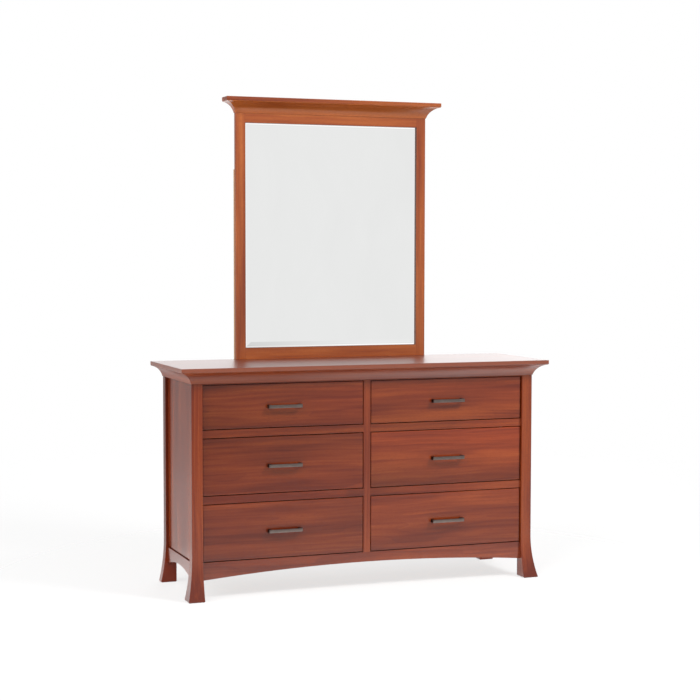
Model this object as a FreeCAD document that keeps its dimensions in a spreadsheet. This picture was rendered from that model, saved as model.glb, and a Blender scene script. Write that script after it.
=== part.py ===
import FreeCAD, Part

import math
import operator
import os
from types import SimpleNamespace

import Sketcher

# A six-drawer dresser with a framed mirror standing on its top.
# X runs to the right of someone facing the drawers, Y to the back, Z up, and the floor is Z = 0.
# The origin lies on the floor, under the middle of the whole object.

SIZES = {
    # Case
    "top_width": 1575,
    "top_depth": 495,
    "dresser_height": 914,
    "top_thickness": 16,
    "top_overhang": 52.5,
    "top_round": 2,
    "leg_width": 44.7,
    "leg_depth": 38,
    "leg_round": 1.5,
    "side_flare": 22,
    "front_flare": 30,
    "flare_height": 180,
    "foot_chamfer": 3,
    "rail_recess": 12,
    "rail_stock": 20,
    "rail_height": 31,
    "rail_round": 1,
    "stile_width": 30,
    "apron_top": 147.5,
    "arch_spring_height": 77,
    "arch_middle_height": 108.5,
    "side_rail_recess": 6,
    "panel_recess": 12,
    "panel_groove_height": 3,
    "panel_groove_depth": 6,
    "top_rail_stock": 22,
    "top_rail_show": 4,
    "back_rail_upper_height": 90,
    "back_rail_lower_height": 62,
    "back_rail_stock": 22,
    "back_panel_stock": 6,
    "bottom_panel_stock": 12,
    # Cove moulding, the same under the top and under the mirror's crown
    "cove_projection": 50.5,
    "cove_height": 47,
    "cove_lip": 2,
    "cove_radius": 60,
    # Drawers
    "drawer_gap": 3,
    "top_front_height": 173.5,
    "front_stock": 20,
    "front_round": 2,
    "box_stock": 13,
    "box_depth": 365,
    "box_clearance_below": 12,
    "box_clearance_above": 15,
    "drawer_bottom_stock": 6,
    "drawer_bottom_rise": 10,
    "drawer_groove_depth": 6,
    # Drawer slides, a channel on the case with a channel of the drawer running inside it
    "slide_space": 12.7,
    "slide_height": 45,
    "slide_length": 350,
    "slide_sheet": 1.2,
    "slide_clearance": 0.3,
    # Pulls
    "pull_centres": 128,
    "pull_foot": 12,
    "pull_height": 13,
    "pull_drop": 3,
    "pull_depth": 26,
    "pull_bar": 6,
    "pull_round": 3,
    "pull_ease": 0.8,
    "pull_screw_diameter": 4,
    "pull_screw_grip": 10,
    "pull_screw_head_diameter": 8,
    "pull_screw_head_height": 2.5,
    # Mirror
    "mirror_rise": 1085,
    "mirror_width": 853,
    "mirror_stile_width": 42,
    "mirror_bottom_rail_height": 48,
    "mirror_top_rail_show": 40,
    "mirror_stock": 22,
    "mirror_lip": 8,
    "mirror_rabbet": 8,
    "mirror_round": 1.5,
    "glass_stock": 5,
    "glass_play": 1,
    "glass_bevel_width": 31,
    "glass_bevel_drop": 0.4,
    "backing_stock": 4,
    "crown_stock": 16,
    "crown_overhang": 52.5,
    # Supports that hold the mirror to the back of the case, and their screws
    "support_width": 40,
    "support_stock": 16,
    "support_length": 876,
    "support_drop": 86,
    "support_screw_diameter": 5,
    "support_screw_grip": 14,
    "support_screw_head_diameter": 10,
    "support_screw_head_height": 3,
    "support_screw_inset": 20,
    # How far every cutting shape runs past what it cuts
    "overrun": 5,
}

# How far down from the top of each support the mirror's screws stand, as shares of its length
MIRROR_SCREW_SHARES = (0.06, 0.45)

OPERATIONS = {
    "+": operator.add,
    "-": operator.sub,
    "*": operator.mul,
    "/": operator.truediv,
}

doc = FreeCAD.newDocument("Dresser")
sheet = doc.addObject("Spreadsheet::Sheet", "Sizes")


class Size:
    """A length of the sheet, or a sum of them: its value, and the expression that keeps a feature bound."""

    def __init__(self, text, value):
        self.text = text
        self.value = value

    def __add__(self, other):
        return combined(self, "+", other)

    def __sub__(self, other):
        return combined(self, "-", other)

    def __mul__(self, other):
        return combined(self, "*", other)

    def __truediv__(self, other):
        return combined(self, "/", other)

    def __neg__(self):
        return Size(f"(-{self.text})", -self.value)


def combined(first, sign, second):
    """Two sizes, or a size and a plain factor, joined by an arithmetic sign."""
    text = f"({written(first)} {sign} {written(second)})"
    return Size(text, OPERATIONS[sign](worth(first), worth(second)))


def written(term):
    return term.text if isinstance(term, Size) else str(term)


def worth(term):
    return term.value if isinstance(term, Size) else term


def fill_sheet():
    """Write every driving size to the sheet under its alias, and hand the sizes back by name."""
    for row, (name, value) in enumerate(SIZES.items(), start=1):
        sheet.set(f"A{row}", name.replace("_", " "))
        sheet.set(f"B{row}", str(value))
        sheet.setAlias(f"B{row}", name)
    doc.recompute()
    return SimpleNamespace(**{name: Size(f"Sizes.{name}", value) for name, value in SIZES.items()})


s = fill_sheet()
ZERO = Size("0", 0)

# Planes that the pieces share
half_case = s.top_width / 2 - s.top_overhang
half_opening = half_case - s.leg_width
half_stile = s.stile_width / 2
total_depth = s.top_depth + s.support_stock
top_front = -total_depth / 2
leg_front = top_front + s.top_overhang
case_back = top_front + s.top_depth
front_leg_back = leg_front + s.leg_depth
back_leg_front = case_back - s.leg_depth
face = leg_front + s.rail_recess
face_back = face + s.rail_stock
back_rail_front = case_back - s.back_rail_stock
back_panel_front = back_rail_front - s.back_panel_stock

top_under = s.dresser_height - s.top_thickness
cove_bottom = top_under - s.cove_height
top_rail_low = cove_bottom - s.top_rail_show
front_room = top_rail_low - s.apron_top - s.rail_height * 2 - s.drawer_gap * 6
lower_front_height = (front_room - s.top_front_height) / 2
bottom_row_low = s.apron_top + s.drawer_gap
bottom_row_high = bottom_row_low + lower_front_height
lower_rail_low = bottom_row_high + s.drawer_gap
lower_rail_high = lower_rail_low + s.rail_height
middle_row_low = lower_rail_high + s.drawer_gap
middle_row_high = middle_row_low + lower_front_height
upper_rail_low = middle_row_high + s.drawer_gap
upper_rail_high = upper_rail_low + s.rail_height
top_row_low = upper_rail_high + s.drawer_gap
top_row_high = top_rail_low - s.drawer_gap

mirror_half = s.mirror_width / 2
mirror_front = case_back - s.mirror_stock
mirror_top = s.dresser_height + s.mirror_rise
crown_under = mirror_top - s.crown_stock
crown_cove_bottom = crown_under - s.cove_height
glass_half = mirror_half - s.mirror_stile_width
glass_low = s.dresser_height + s.mirror_bottom_rail_height
glass_high = crown_cove_bottom - s.mirror_top_rail_show
glass_seat = glass_low - s.mirror_rabbet
glass_edge = s.mirror_rabbet - s.glass_play
support_low = s.dresser_height - s.support_drop
support_inset = (s.mirror_stile_width - s.support_width) / 2

COLUMNS = (("left", -1), ("right", 1))

exported = []


def bind(feature, entry, size):
    feature.setExpression(entry, size.text)


def keep(feature, name):
    """Name a finished sub-part, which gets a file of its own."""
    feature.Label = name
    exported.append(feature)
    return feature


def new_body(name, x, y, z):
    """An empty body whose own corner stands at a place of the dresser."""
    body = doc.addObject("PartDesign::Body", name)
    for axis, place in zip("xyz", (x, y, z)):
        bind(body, f"Placement.Base.{axis}", place)
    return body


def sketch_on(body, role, name):
    """A sketch on one of the body's own origin planes."""
    plane = next(item for item in body.Origin.OriginFeatures if item.Role == role)
    sketch = body.newObject("Sketcher::SketchObject", name)
    sketch.AttachmentSupport = [(plane, "")]
    sketch.MapMode = "FlatFace"
    return sketch


def arc_between(start, end, radius):
    """The short arc from start to end; a negative radius turns it clockwise."""
    chord = end - start
    half = chord.Length / 2
    middle = (start + end) / 2
    left = FreeCAD.Vector(-chord.y, chord.x, 0) / chord.Length
    centre = middle + left * math.copysign(math.sqrt(radius * radius - half * half), radius)
    first, last = (start, end) if radius > 0 else (end, start)
    angles = [math.atan2(point.y - centre.y, point.x - centre.x) for point in (first, last)]
    circle = Part.Circle(centre, FreeCAD.Vector(0, 0, 1), abs(radius))
    return Part.ArcOfCircle(circle, *angles)


def outline(sketch, corners, bends=None):
    """Add a closed outline; bends maps a corner's number to the radius of the arc that leaves it."""
    bends = bends or {}
    first = sketch.GeometryCount
    count = len(corners)
    points = [FreeCAD.Vector(x.value, y.value, 0) for x, y in corners]
    ends = []
    for number, start in enumerate(points):
        end = points[(number + 1) % count]
        radius = bends.get(number)
        if radius is None:
            sketch.addGeometry(Part.LineSegment(start, end), False)
        else:
            sketch.addGeometry(arc_between(start, end, radius.value), False)
        ends.append((2, 1) if radius is not None and radius.value < 0 else (1, 2))
    for number in range(count):
        after = (number + 1) % count
        link = (first + number, ends[number][1], first + after, ends[after][0])
        sketch.addConstraint(Sketcher.Constraint("Coincident", *link))
    for number, (x, y) in enumerate(corners):
        corner = (first + number, ends[number][0])
        for kind, size in (("DistanceX", x), ("DistanceY", y)):
            rule = Sketcher.Constraint(kind, -1, 1, *corner, size.value)
            bind(sketch, f"Constraints[{sketch.addConstraint(rule)}]", size)
    for number, radius in bends.items():
        size = radius if radius.value > 0 else -radius
        rule = Sketcher.Constraint("Radius", first + number, size.value)
        bind(sketch, f"Constraints[{sketch.addConstraint(rule)}]", size)


def padded(body, sketch, length, name, reverse=False):
    """Pad a sketch; on the XZ plane the reverse way is the one towards the back."""
    pad = body.newObject("PartDesign::Pad", name)
    pad.Profile = sketch
    pad.Reversed = reverse
    bind(pad, "Length", length)
    body.Tip = pad
    doc.recompute()
    return pad


def pocketed(body, sketch, name):
    """Cut a sketch right through the body both ways, and make sure that it took something away."""
    before = body.Shape.Volume
    pocket = body.newObject("PartDesign::Pocket", name)
    pocket.Profile = sketch
    pocket.Type = "ThroughAll"
    pocket.SideType = "Symmetric"
    body.Tip = pocket
    doc.recompute()
    if not body.Shape.Volume < before:
        raise RuntimeError(f"{name} cuts nothing")
    return pocket


def edge_names(feature, wanted):
    """The names of the edges of a feature whose box, from low to high, is wanted."""
    names = []
    for number, edge in enumerate(feature.Shape.Edges, start=1):
        box = edge.BoundBox
        low = FreeCAD.Vector(box.XMin, box.YMin, box.ZMin)
        high = FreeCAD.Vector(box.XMax, box.YMax, box.ZMax)
        if wanted(low, high):
            names.append(f"Edge{number}")
    return names


def rounded(body, feature, radius, wanted, name):
    fillet = body.newObject("PartDesign::Fillet", name)
    fillet.Base = (feature, edge_names(feature, wanted))
    bind(fillet, "Radius", radius)
    body.Tip = fillet
    return fillet


def runs_along(axes):
    """A test for straight edges that run along one of the axes."""

    def wanted(low, high):
        spans = [("x", high.x - low.x), ("y", high.y - low.y), ("z", high.z - low.z)]
        longest = max(spans, key=lambda span: span[1])
        return longest[0] in axes

    return wanted


def board(name, x, y, z, radius=None, along="xyz"):
    """A board between a low and a high place on each axis, with the edges along the named axes rounded."""
    body = new_body(name, x[0], y[0], z[0])
    stock = body.newObject("PartDesign::AdditiveBox", f"{name}_stock")
    for side, (low, high) in zip(("Length", "Width", "Height"), (x, y, z)):
        bind(stock, side, high - low)
    if radius:
        doc.recompute()
        rounded(body, stock, radius, runs_along(along), f"{name}_round")
    return body


def cut_block(body, x, y, z, name):
    """Cut a block, given in the body's own frame, and make sure that it took something away."""
    doc.recompute()
    before = body.Shape.Volume
    block = body.newObject("PartDesign::SubtractiveBox", name)
    for axis, side, (low, high) in zip("xyz", ("Length", "Width", "Height"), (x, y, z)):
        bind(block, side, high - low)
        bind(block, f"Placement.Base.{axis}", low)
    body.Tip = block
    doc.recompute()
    if not body.Shape.Volume < before:
        raise RuntimeError(f"{name} cuts nothing")


TO_THE_BACK = FreeCAD.Rotation(FreeCAD.Vector(1, 0, 0), -90)


def bore(body, x, y, z, diameter, name):
    """Bore a hole along Y between two places of the body's own frame."""
    drill = body.newObject("PartDesign::SubtractiveCylinder", name)
    drill.Placement = FreeCAD.Placement(FreeCAD.Vector(), TO_THE_BACK)
    for axis, place in zip("xyz", (x, y[0], z)):
        bind(drill, f"Placement.Base.{axis}", place)
    bind(drill, "Radius", diameter / 2)
    bind(drill, "Height", y[1] - y[0])
    body.Tip = drill


def rod(name, x, y, z, diameter):
    """A plain round bar along Y, between two places of the dresser."""
    bar = doc.addObject("Part::Cylinder", name)
    bar.Placement = FreeCAD.Placement(FreeCAD.Vector(), TO_THE_BACK)
    for axis, place in zip("xyz", (x, y[0], z)):
        bind(bar, f"Placement.Base.{axis}", place)
    bind(bar, "Radius", diameter / 2)
    bind(bar, "Height", y[1] - y[0])
    return bar


def fused(name, pieces):
    fuse = doc.addObject("Part::MultiFuse", name)
    fuse.Shapes = pieces
    return fuse


def grouped(name, pieces):
    """Several separate pieces of one kind that share a file."""
    group = doc.addObject("Part::Compound", name)
    group.Links = pieces
    return group


def mirrored(piece, name):
    """The same piece on the other side of the dresser."""
    copy = doc.addObject("Part::Mirroring", name)
    copy.Source = piece
    copy.Normal = FreeCAD.Vector(1, 0, 0)
    return copy


def across(side, near, far):
    """The low and high X of a span on the left (side -1) or the right (side 1) of the middle."""
    return (near, far) if side > 0 else (-far, -near)


# Legs
def flare_radius(flare):
    """The arc that leaves the straight leg without a corner and stands out by the flare at the floor."""
    return (s.flare_height * s.flare_height + flare * flare) / (flare * 2)


def leg(name, front, back, front_flare):
    """A left leg: it flares to the side at its foot, and a front leg flares forward too."""
    body = new_body(name, -half_case, front - front_flare, ZERO)
    profile = sketch_on(body, "XZ_Plane", f"{name}_front_view")
    corners = [
        (-s.side_flare, ZERO),
        (s.leg_width, ZERO),
        (s.leg_width, top_under),
        (ZERO, top_under),
        (ZERO, s.flare_height),
    ]
    outline(profile, corners, {4: -flare_radius(s.side_flare)})
    solid = padded(body, profile, back - front + front_flare, f"{name}_pad", reverse=True)
    if front_flare.value:
        waste = sketch_on(body, "YZ_Plane", f"{name}_side_view")
        corners = [
            (ZERO, ZERO),
            (front_flare, s.flare_height),
            (front_flare, top_under + s.overrun),
            (-s.overrun, top_under + s.overrun),
            (-s.overrun, ZERO),
        ]
        outline(waste, corners, {0: flare_radius(front_flare)})
        solid = pocketed(body, waste, f"{name}_front_cut")
    chamfer = body.newObject("PartDesign::Chamfer", f"{name}_foot")
    reach = s.foot_chamfer.value
    chamfer.Base = (solid, edge_names(solid, lambda low, high: high.z < reach))
    bind(chamfer, "Size", s.foot_chamfer)
    body.Tip = chamfer
    doc.recompute()
    rounded(body, chamfer, s.leg_round, lambda low, high: high.z - low.z > reach * 2, f"{name}_round")
    return body


# Boards with an arched lower edge
def arched_edge(length, top):
    """The outline of a board that stands on a low arch, and the radius of that arch."""
    rise = s.arch_middle_height - s.arch_spring_height
    radius = (length * length / 4 + rise * rise) / (rise * 2)
    corners = [
        (ZERO, s.arch_spring_height),
        (length, s.arch_spring_height),
        (length, top),
        (ZERO, top),
    ]
    return corners, {0: -radius}


def front_apron():
    body = new_body("front_apron_board", -half_opening, face, ZERO)
    sketch = sketch_on(body, "XZ_Plane", "front_apron_view")
    outline(sketch, *arched_edge(half_opening * 2, s.apron_top))
    padded(body, sketch, s.rail_stock, "front_apron_pad", reverse=True)
    return body


def side_skirt():
    """The arched rail that closes the left side under its panel."""
    body = new_body("side_skirt_left", s.side_rail_recess - half_case, front_leg_back, ZERO)
    sketch = sketch_on(body, "YZ_Plane", "side_skirt_view")
    outline(sketch, *arched_edge(back_leg_front - front_leg_back, s.apron_top))
    padded(body, sketch, s.rail_stock, "side_skirt_pad")
    return body


# Cove mouldings
def cove_section():
    """The section of the moulding, standing out to negative X from the wall that carries it."""
    corners = [
        (ZERO, ZERO),
        (ZERO, s.cove_height),
        (-s.cove_projection, s.cove_height),
        (-s.cove_projection, s.cove_height - s.cove_lip),
        (-s.cove_lip, ZERO),
    ]
    return corners, {3: -s.cove_radius}


def cove_front(name, half_width, wall, bottom):
    """The front length of a moulding, mitred at both ends."""
    body = new_body(name, -(half_width + s.cove_projection), wall, bottom)
    length = (half_width + s.cove_projection) * 2
    section = sketch_on(body, "YZ_Plane", f"{name}_section")
    outline(section, *cove_section())
    padded(body, section, length, f"{name}_pad")
    mitres = sketch_on(body, "XY_Plane", f"{name}_mitres")
    tip = s.cove_projection + s.overrun
    outline(mitres, [(-s.overrun, -tip), (tip, s.overrun), (-s.overrun, s.overrun)])
    outline(mitres, [(length + s.overrun, -tip), (length + s.overrun, s.overrun), (length - tip, s.overrun)])
    pocketed(body, mitres, f"{name}_mitre_cut")
    return body


def cove_side(name, half_width, wall, back, bottom):
    """The left length of a moulding, mitred at its front end."""
    body = new_body(name, -half_width, wall - s.cove_projection, bottom)
    section = sketch_on(body, "XZ_Plane", f"{name}_section")
    outline(section, *cove_section())
    padded(body, section, back - wall + s.cove_projection, f"{name}_pad", reverse=True)
    mitre = sketch_on(body, "XY_Plane", f"{name}_mitre")
    tip = s.cove_projection + s.overrun
    outline(mitre, [(-tip, -s.overrun), (s.overrun, -s.overrun), (s.overrun, tip)])
    pocketed(body, mitre, f"{name}_mitre_cut")
    return body


# Case
def side_panel():
    """The left side panel, with a shadow groove along its foot where it stands on the skirt."""
    body = board(
        "side_panel_left_board",
        (s.panel_recess - half_case, -half_opening),
        (front_leg_back, back_leg_front),
        (s.apron_top, top_under),
    )
    cut_block(
        body,
        (-s.overrun, s.panel_groove_depth),
        (-s.overrun, back_leg_front - front_leg_back + s.overrun),
        (-s.overrun, s.panel_groove_height),
        "side_panel_groove",
    )
    return body


def drawer_rails():
    """Two rails on each side of the middle stile."""
    rails = []
    lower = (lower_rail_low, lower_rail_high)
    upper = (upper_rail_low, upper_rail_high)
    for height, z in (("lower", lower), ("upper", upper)):
        for column, side in COLUMNS:
            x = across(side, half_stile, half_opening)
            rails.append(board(f"rail_{height}_{column}", x, (face, face_back), z, s.rail_round, "x"))
    return grouped("rails", rails)


def build_case():
    top_x = (-s.top_width / 2, s.top_width / 2)
    top = board("top_board", top_x, (top_front, case_back), (top_under, s.dresser_height), s.top_round)
    keep(top, "top_panel")
    keep(cove_front("top_cove", half_case, leg_front, cove_bottom), "top_cove_front")
    side_cove = cove_side("side_cove_left", half_case, leg_front, case_back, cove_bottom)
    keep(grouped("side_coves", [side_cove, mirrored(side_cove, "side_cove_right")]), "top_cove_sides")

    front_leg = keep(leg("front_leg", leg_front, front_leg_back, s.front_flare), "leg_front_left")
    keep(mirrored(front_leg, "front_leg_copy"), "leg_front_right")
    back_leg = keep(leg("back_leg", back_leg_front, case_back, ZERO), "leg_back_left")
    keep(mirrored(back_leg, "back_leg_copy"), "leg_back_right")

    panel = keep(side_panel(), "side_panel_left")
    keep(mirrored(panel, "side_panel_copy"), "side_panel_right")
    upper_x = (-half_case, s.panel_recess - half_case)
    upper = board("side_rail_left", upper_x, (front_leg_back, back_leg_front), (cove_bottom, top_under))
    keep(grouped("side_rails", [upper, mirrored(upper, "side_rail_right")]), "side_rails_upper")
    skirt = side_skirt()
    keep(grouped("side_skirts", [skirt, mirrored(skirt, "side_skirt_right")]), "side_rails_lower")

    opening_x = (-half_opening, half_opening)
    rail_y = (leg_front, leg_front + s.top_rail_stock)
    keep(board("top_rail", opening_x, rail_y, (top_rail_low, top_under)), "top_rail_front")
    keep(drawer_rails(), "drawer_rails")
    stile_x = (-half_stile, half_stile)
    stile = board("stile", stile_x, (face, face_back), (s.apron_top, top_rail_low), s.rail_round, "z")
    keep(stile, "centre_stile")
    keep(front_apron(), "front_apron")
    partition_y = (face_back, back_panel_front)
    keep(board("partition", stile_x, partition_y, (s.apron_top, top_under)), "centre_partition")
    bottom_z = (s.apron_top - s.bottom_panel_stock, s.apron_top)
    keep(board("bottom_board", opening_x, (face_back, back_rail_front), bottom_z), "bottom_panel")
    back_y = (back_panel_front, back_rail_front)
    keep(board("back_board", opening_x, back_y, (s.apron_top, top_under)), "back_panel")
    keep(back_rails(), "back_rails")
    keep(case_slides(), "drawer_slides_case")


def back_rails():
    """The upper rail takes the screws of the mirror's supports; the lower one carries the bottom."""
    x = (-half_opening, half_opening)
    y = (back_rail_front, case_back)
    upper_low = top_under - s.back_rail_upper_height
    upper = board("back_rail_upper", x, y, (upper_low, top_under))
    bore_y = (s.back_rail_stock - s.support_screw_grip, s.back_rail_stock)
    for number, (place, height) in enumerate(case_screw_places()):
        spot = place + half_opening
        bore(upper, spot, bore_y, height - upper_low, s.support_screw_diameter, f"rail_bore_{number}")
    lower = board("back_rail_lower", x, y, (s.apron_top - s.back_rail_lower_height, s.apron_top))
    return grouped("back_rail_pair", [upper, lower])


# Drawers
ROWS = (
    ("bottom", bottom_row_low, bottom_row_high),
    ("middle", middle_row_low, middle_row_high),
    ("top", top_row_low, top_row_high),
)


def slide_levels(low, high):
    """The low and high Z of a drawer's slide on the case, half way up its front."""
    middle = (low + high) / 2
    return middle - s.slide_height / 2, middle + s.slide_height / 2


def channel(name, wall, mouth, y, z):
    """A channel along Y: its web lies against the wall, and its two flanges reach to the mouth."""
    towards = 1 if mouth.value > wall.value else -1
    outer = block(f"{name}_outside", ordered(wall, mouth), y, z)
    web_end = wall + s.slide_sheet * towards
    past_mouth = mouth + s.overrun * towards
    hollow_y = (y[0] - s.overrun, y[1] + s.overrun)
    hollow_z = (z[0] + s.slide_sheet, z[1] - s.slide_sheet)
    inner = block(f"{name}_inside", ordered(web_end, past_mouth), hollow_y, hollow_z)
    cut = doc.addObject("Part::Cut", name)
    cut.Base = outer
    cut.Tool = inner
    return cut


def ordered(first, second):
    return (first, second) if first.value < second.value else (second, first)


def block(name, x, y, z):
    box = doc.addObject("Part::Box", name)
    for axis, side, (low, high) in zip("xyz", ("Length", "Width", "Height"), (x, y, z)):
        bind(box, side, high - low)
        bind(box, f"Placement.Base.{axis}", low)
    return box


slide_front = face + s.front_stock
slide_back = slide_front + s.slide_length


def case_slides():
    """Two channels for each drawer, on the side panels and on the partition."""
    channels = []
    for row, low, high in ROWS:
        z = slide_levels(low, high)
        y = (slide_front + s.slide_clearance, slide_back + s.slide_clearance)
        for column, side in COLUMNS:
            for place, wall, turn in (("outer", half_opening, -1), ("inner", half_stile, 1)):
                mouth = wall + (s.slide_space - s.slide_clearance) * turn
                name = f"case_slide_{row}_{column}_{place}"
                channels.append(channel(name, wall * side, mouth * side, y, z))
    return grouped("case_slides", channels)


def drawer_slides(name, low, high, side):
    """The two channels that a drawer carries, each inside its channel on the case."""
    case_low, case_high = slide_levels(low, high)
    skin = s.slide_sheet + s.slide_clearance
    z = (case_low + skin, case_high - skin)
    channels = []
    for place, wall, turn in (("outer", half_opening, -1), ("inner", half_stile, 1)):
        web = (wall + s.slide_space * turn) * side
        mouth = (wall + skin * turn) * side
        channels.append(channel(f"{name}_slide_{place}", web, mouth, (slide_front, slide_back), z))
    return grouped(f"{name}_slide_pair", channels)


def drawer_front(name, x, low, high):
    """The front, with a groove for the bottom and two holes for the pull's screws."""
    body = board(f"{name}_face", x, (face, slide_front), (low, high), s.front_round, "xz")
    width = x[1] - x[0]
    side_gap = s.slide_space + s.box_stock - s.drawer_gap - s.drawer_groove_depth
    rise = s.box_clearance_below + s.drawer_bottom_rise
    cut_block(
        body,
        (side_gap, width - side_gap),
        (s.front_stock - s.drawer_groove_depth, s.front_stock + s.overrun),
        (rise, rise + s.drawer_bottom_stock),
        f"{name}_face_groove",
    )
    for hand in (-1, 1):
        across_x = width / 2 + s.pull_centres / 2 * hand
        through = (-s.overrun, s.front_stock + s.overrun)
        level = (high - low) / 2 - s.pull_drop
        bore(body, across_x, through, level, s.pull_screw_diameter, f"{name}_bore_{hand + 1}")
    return body


def drawer_box(name, x, low, high):
    """Two grooved sides and the back between them."""
    box_back = slide_front + s.box_depth
    z = (low + s.box_clearance_below, high - s.box_clearance_above)
    groove_z = (s.drawer_bottom_rise, s.drawer_bottom_rise + s.drawer_bottom_stock)
    pieces = []
    for word, side_x, groove_x in (
        ("left", (x[0], x[0] + s.box_stock), (s.box_stock - s.drawer_groove_depth, s.box_stock + s.overrun)),
        ("right", (x[1] - s.box_stock, x[1]), (-s.overrun, s.drawer_groove_depth)),
    ):
        wall = board(f"{name}_side_{word}", side_x, (slide_front, box_back), z)
        cut_block(wall, groove_x, (-s.overrun, s.box_depth + s.overrun), groove_z, f"{name}_groove_{word}")
        pieces.append(wall)
    back_x = (x[0] + s.box_stock, x[1] - s.box_stock)
    back_z = (z[0] + groove_z[1], z[1])
    pieces.append(board(f"{name}_back", back_x, (box_back - s.box_stock, box_back), back_z))
    return grouped(f"{name}_walls", pieces)


def drawer_bottom(name, x, low):
    """A thin panel that lies in the grooves of the front and the sides, under the back."""
    reach = s.box_stock - s.drawer_groove_depth
    rise = low + s.box_clearance_below + s.drawer_bottom_rise
    y = (slide_front - s.drawer_groove_depth, slide_front + s.box_depth)
    return board(f"{name}_floor", (x[0] + reach, x[1] - reach), y, (rise, rise + s.drawer_bottom_stock))


def pull(name, middle_x, middle_z):
    """A flat strap bent back at both ends, with the two screws that hold it through the front."""
    half = (s.pull_centres + s.pull_foot) / 2
    inner = half - s.pull_foot
    body = new_body(f"{name}_strap", middle_x, face, middle_z - s.pull_height / 2)
    sketch = sketch_on(body, "XY_Plane", f"{name}_strap_plan")
    corners = [
        (-half, ZERO),
        (-half, -s.pull_depth),
        (half, -s.pull_depth),
        (half, ZERO),
        (inner, ZERO),
        (inner, s.pull_bar - s.pull_depth),
        (-inner, s.pull_bar - s.pull_depth),
        (-inner, ZERO),
    ]
    outline(sketch, corners)
    bar = padded(body, sketch, s.pull_height, f"{name}_strap_pad")
    front = face.value - s.pull_depth.value + s.pull_ease.value

    def outer_corner(low, high):
        return high.z - low.z > s.pull_ease.value and high.y + face.value < front

    bends = rounded(body, bar, s.pull_round, outer_corner, f"{name}_strap_bends")
    doc.recompute()
    rim = rounded(
        body,
        bends,
        s.pull_ease,
        lambda low, high: high.z - low.z < s.pull_ease.value and low.y < -s.pull_ease.value,
        f"{name}_strap_ease",
    )
    body.Tip = rim
    pieces = [body]
    for hand in (-1, 1):
        place = s.pull_centres / 2 * hand
        hole = (-s.pull_screw_grip, s.overrun)
        bore(body, place, hole, s.pull_height / 2, s.pull_screw_diameter, f"{name}_strap_bore_{hand + 1}")
        spot = middle_x + place
        shank_y = (face - s.pull_screw_grip, slide_front)
        shank = rod(f"{name}_shank_{hand + 1}", spot, shank_y, middle_z, s.pull_screw_diameter)
        head_y = (slide_front, slide_front + s.pull_screw_head_height)
        head = rod(f"{name}_head_{hand + 1}", spot, head_y, middle_z, s.pull_screw_head_diameter)
        pieces.append(fused(f"{name}_screw_{hand + 1}", [shank, head]))
    return grouped(f"{name}_pull_set", pieces)


def build_drawers():
    for row, low, high in ROWS:
        for column, side in COLUMNS:
            name = f"drawer_{row}_{column}"
            front_x = across(side, half_stile + s.drawer_gap, half_opening - s.drawer_gap)
            box_x = across(side, half_stile + s.slide_space, half_opening - s.slide_space)
            keep(drawer_front(name, front_x, low, high), f"{name}_front")
            keep(drawer_box(name, box_x, low, high), f"{name}_box")
            keep(drawer_bottom(name, box_x, low), f"{name}_bottom")
            middle_x = (half_stile + half_opening) / 2 * side
            keep(pull(name, middle_x, (low + high) / 2 - s.pull_drop), f"{name}_pull")
            keep(drawer_slides(name, low, high, side), f"{name}_slides")


# Mirror
def mirror_screw_heights():
    """The heights of the screws that go into the mirror's stiles."""
    top = support_low + s.support_length
    return [top - s.support_length * share for share in MIRROR_SCREW_SHARES]


def support_middle():
    return mirror_half - s.mirror_stile_width / 2


def case_screw_places():
    """Where the supports' screws enter the upper back rail: the X and Z of each."""
    places = []
    for side in (-1, 1):
        for height in (support_low + s.support_screw_inset, top_under - s.support_screw_inset):
            places.append((support_middle() * side, height))
    return places


def mirror_stile():
    """The left upright of the mirror's frame, rabbeted for the glass."""
    body = new_body("mirror_upright", -mirror_half, mirror_front, s.dresser_height)
    sketch = sketch_on(body, "XY_Plane", "mirror_upright_plan")
    narrow = s.mirror_stile_width - s.mirror_rabbet
    corners = [
        (ZERO, ZERO),
        (s.mirror_stile_width, ZERO),
        (s.mirror_stile_width, s.mirror_lip),
        (narrow, s.mirror_lip),
        (narrow, s.mirror_stock),
        (ZERO, s.mirror_stock),
    ]
    outline(sketch, corners)
    height = crown_under - s.dresser_height
    upright = padded(body, sketch, height, "mirror_upright_pad")
    outer = s.mirror_lip.value / 2 - mirror_half.value

    def outer_edge(low, high):
        return runs_along("z")(low, high) and high.x - mirror_half.value < outer

    rounded(body, upright, s.mirror_round, outer_edge, "mirror_upright_round")
    for number, level in enumerate(mirror_screw_heights()):
        bore(
            body,
            s.mirror_stile_width / 2,
            (s.mirror_stock - s.support_screw_grip, s.mirror_stock),
            level - s.dresser_height,
            s.support_screw_diameter,
            f"mirror_upright_bore_{number}",
        )
    return body


def mirror_rail(name, low, high, rabbet_below, rabbet_above):
    """A rail between the stiles: its front lip covers the glass, and its back fills the stiles' rabbets."""
    body = new_body(name, -glass_half, mirror_front, low)
    lip = body.newObject("PartDesign::AdditiveBox", f"{name}_lip")
    bind(lip, "Length", glass_half * 2)
    bind(lip, "Width", s.mirror_lip)
    bind(lip, "Height", high - low)
    back = body.newObject("PartDesign::AdditiveBox", f"{name}_back")
    bind(back, "Length", (glass_half + s.mirror_rabbet) * 2)
    bind(back, "Width", s.mirror_stock - s.mirror_lip)
    bind(back, "Height", high - low - rabbet_below - rabbet_above)
    bind(back, "Placement.Base.x", -s.mirror_rabbet)
    bind(back, "Placement.Base.y", s.mirror_lip)
    bind(back, "Placement.Base.z", rabbet_below)
    body.Tip = back
    return body


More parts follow.
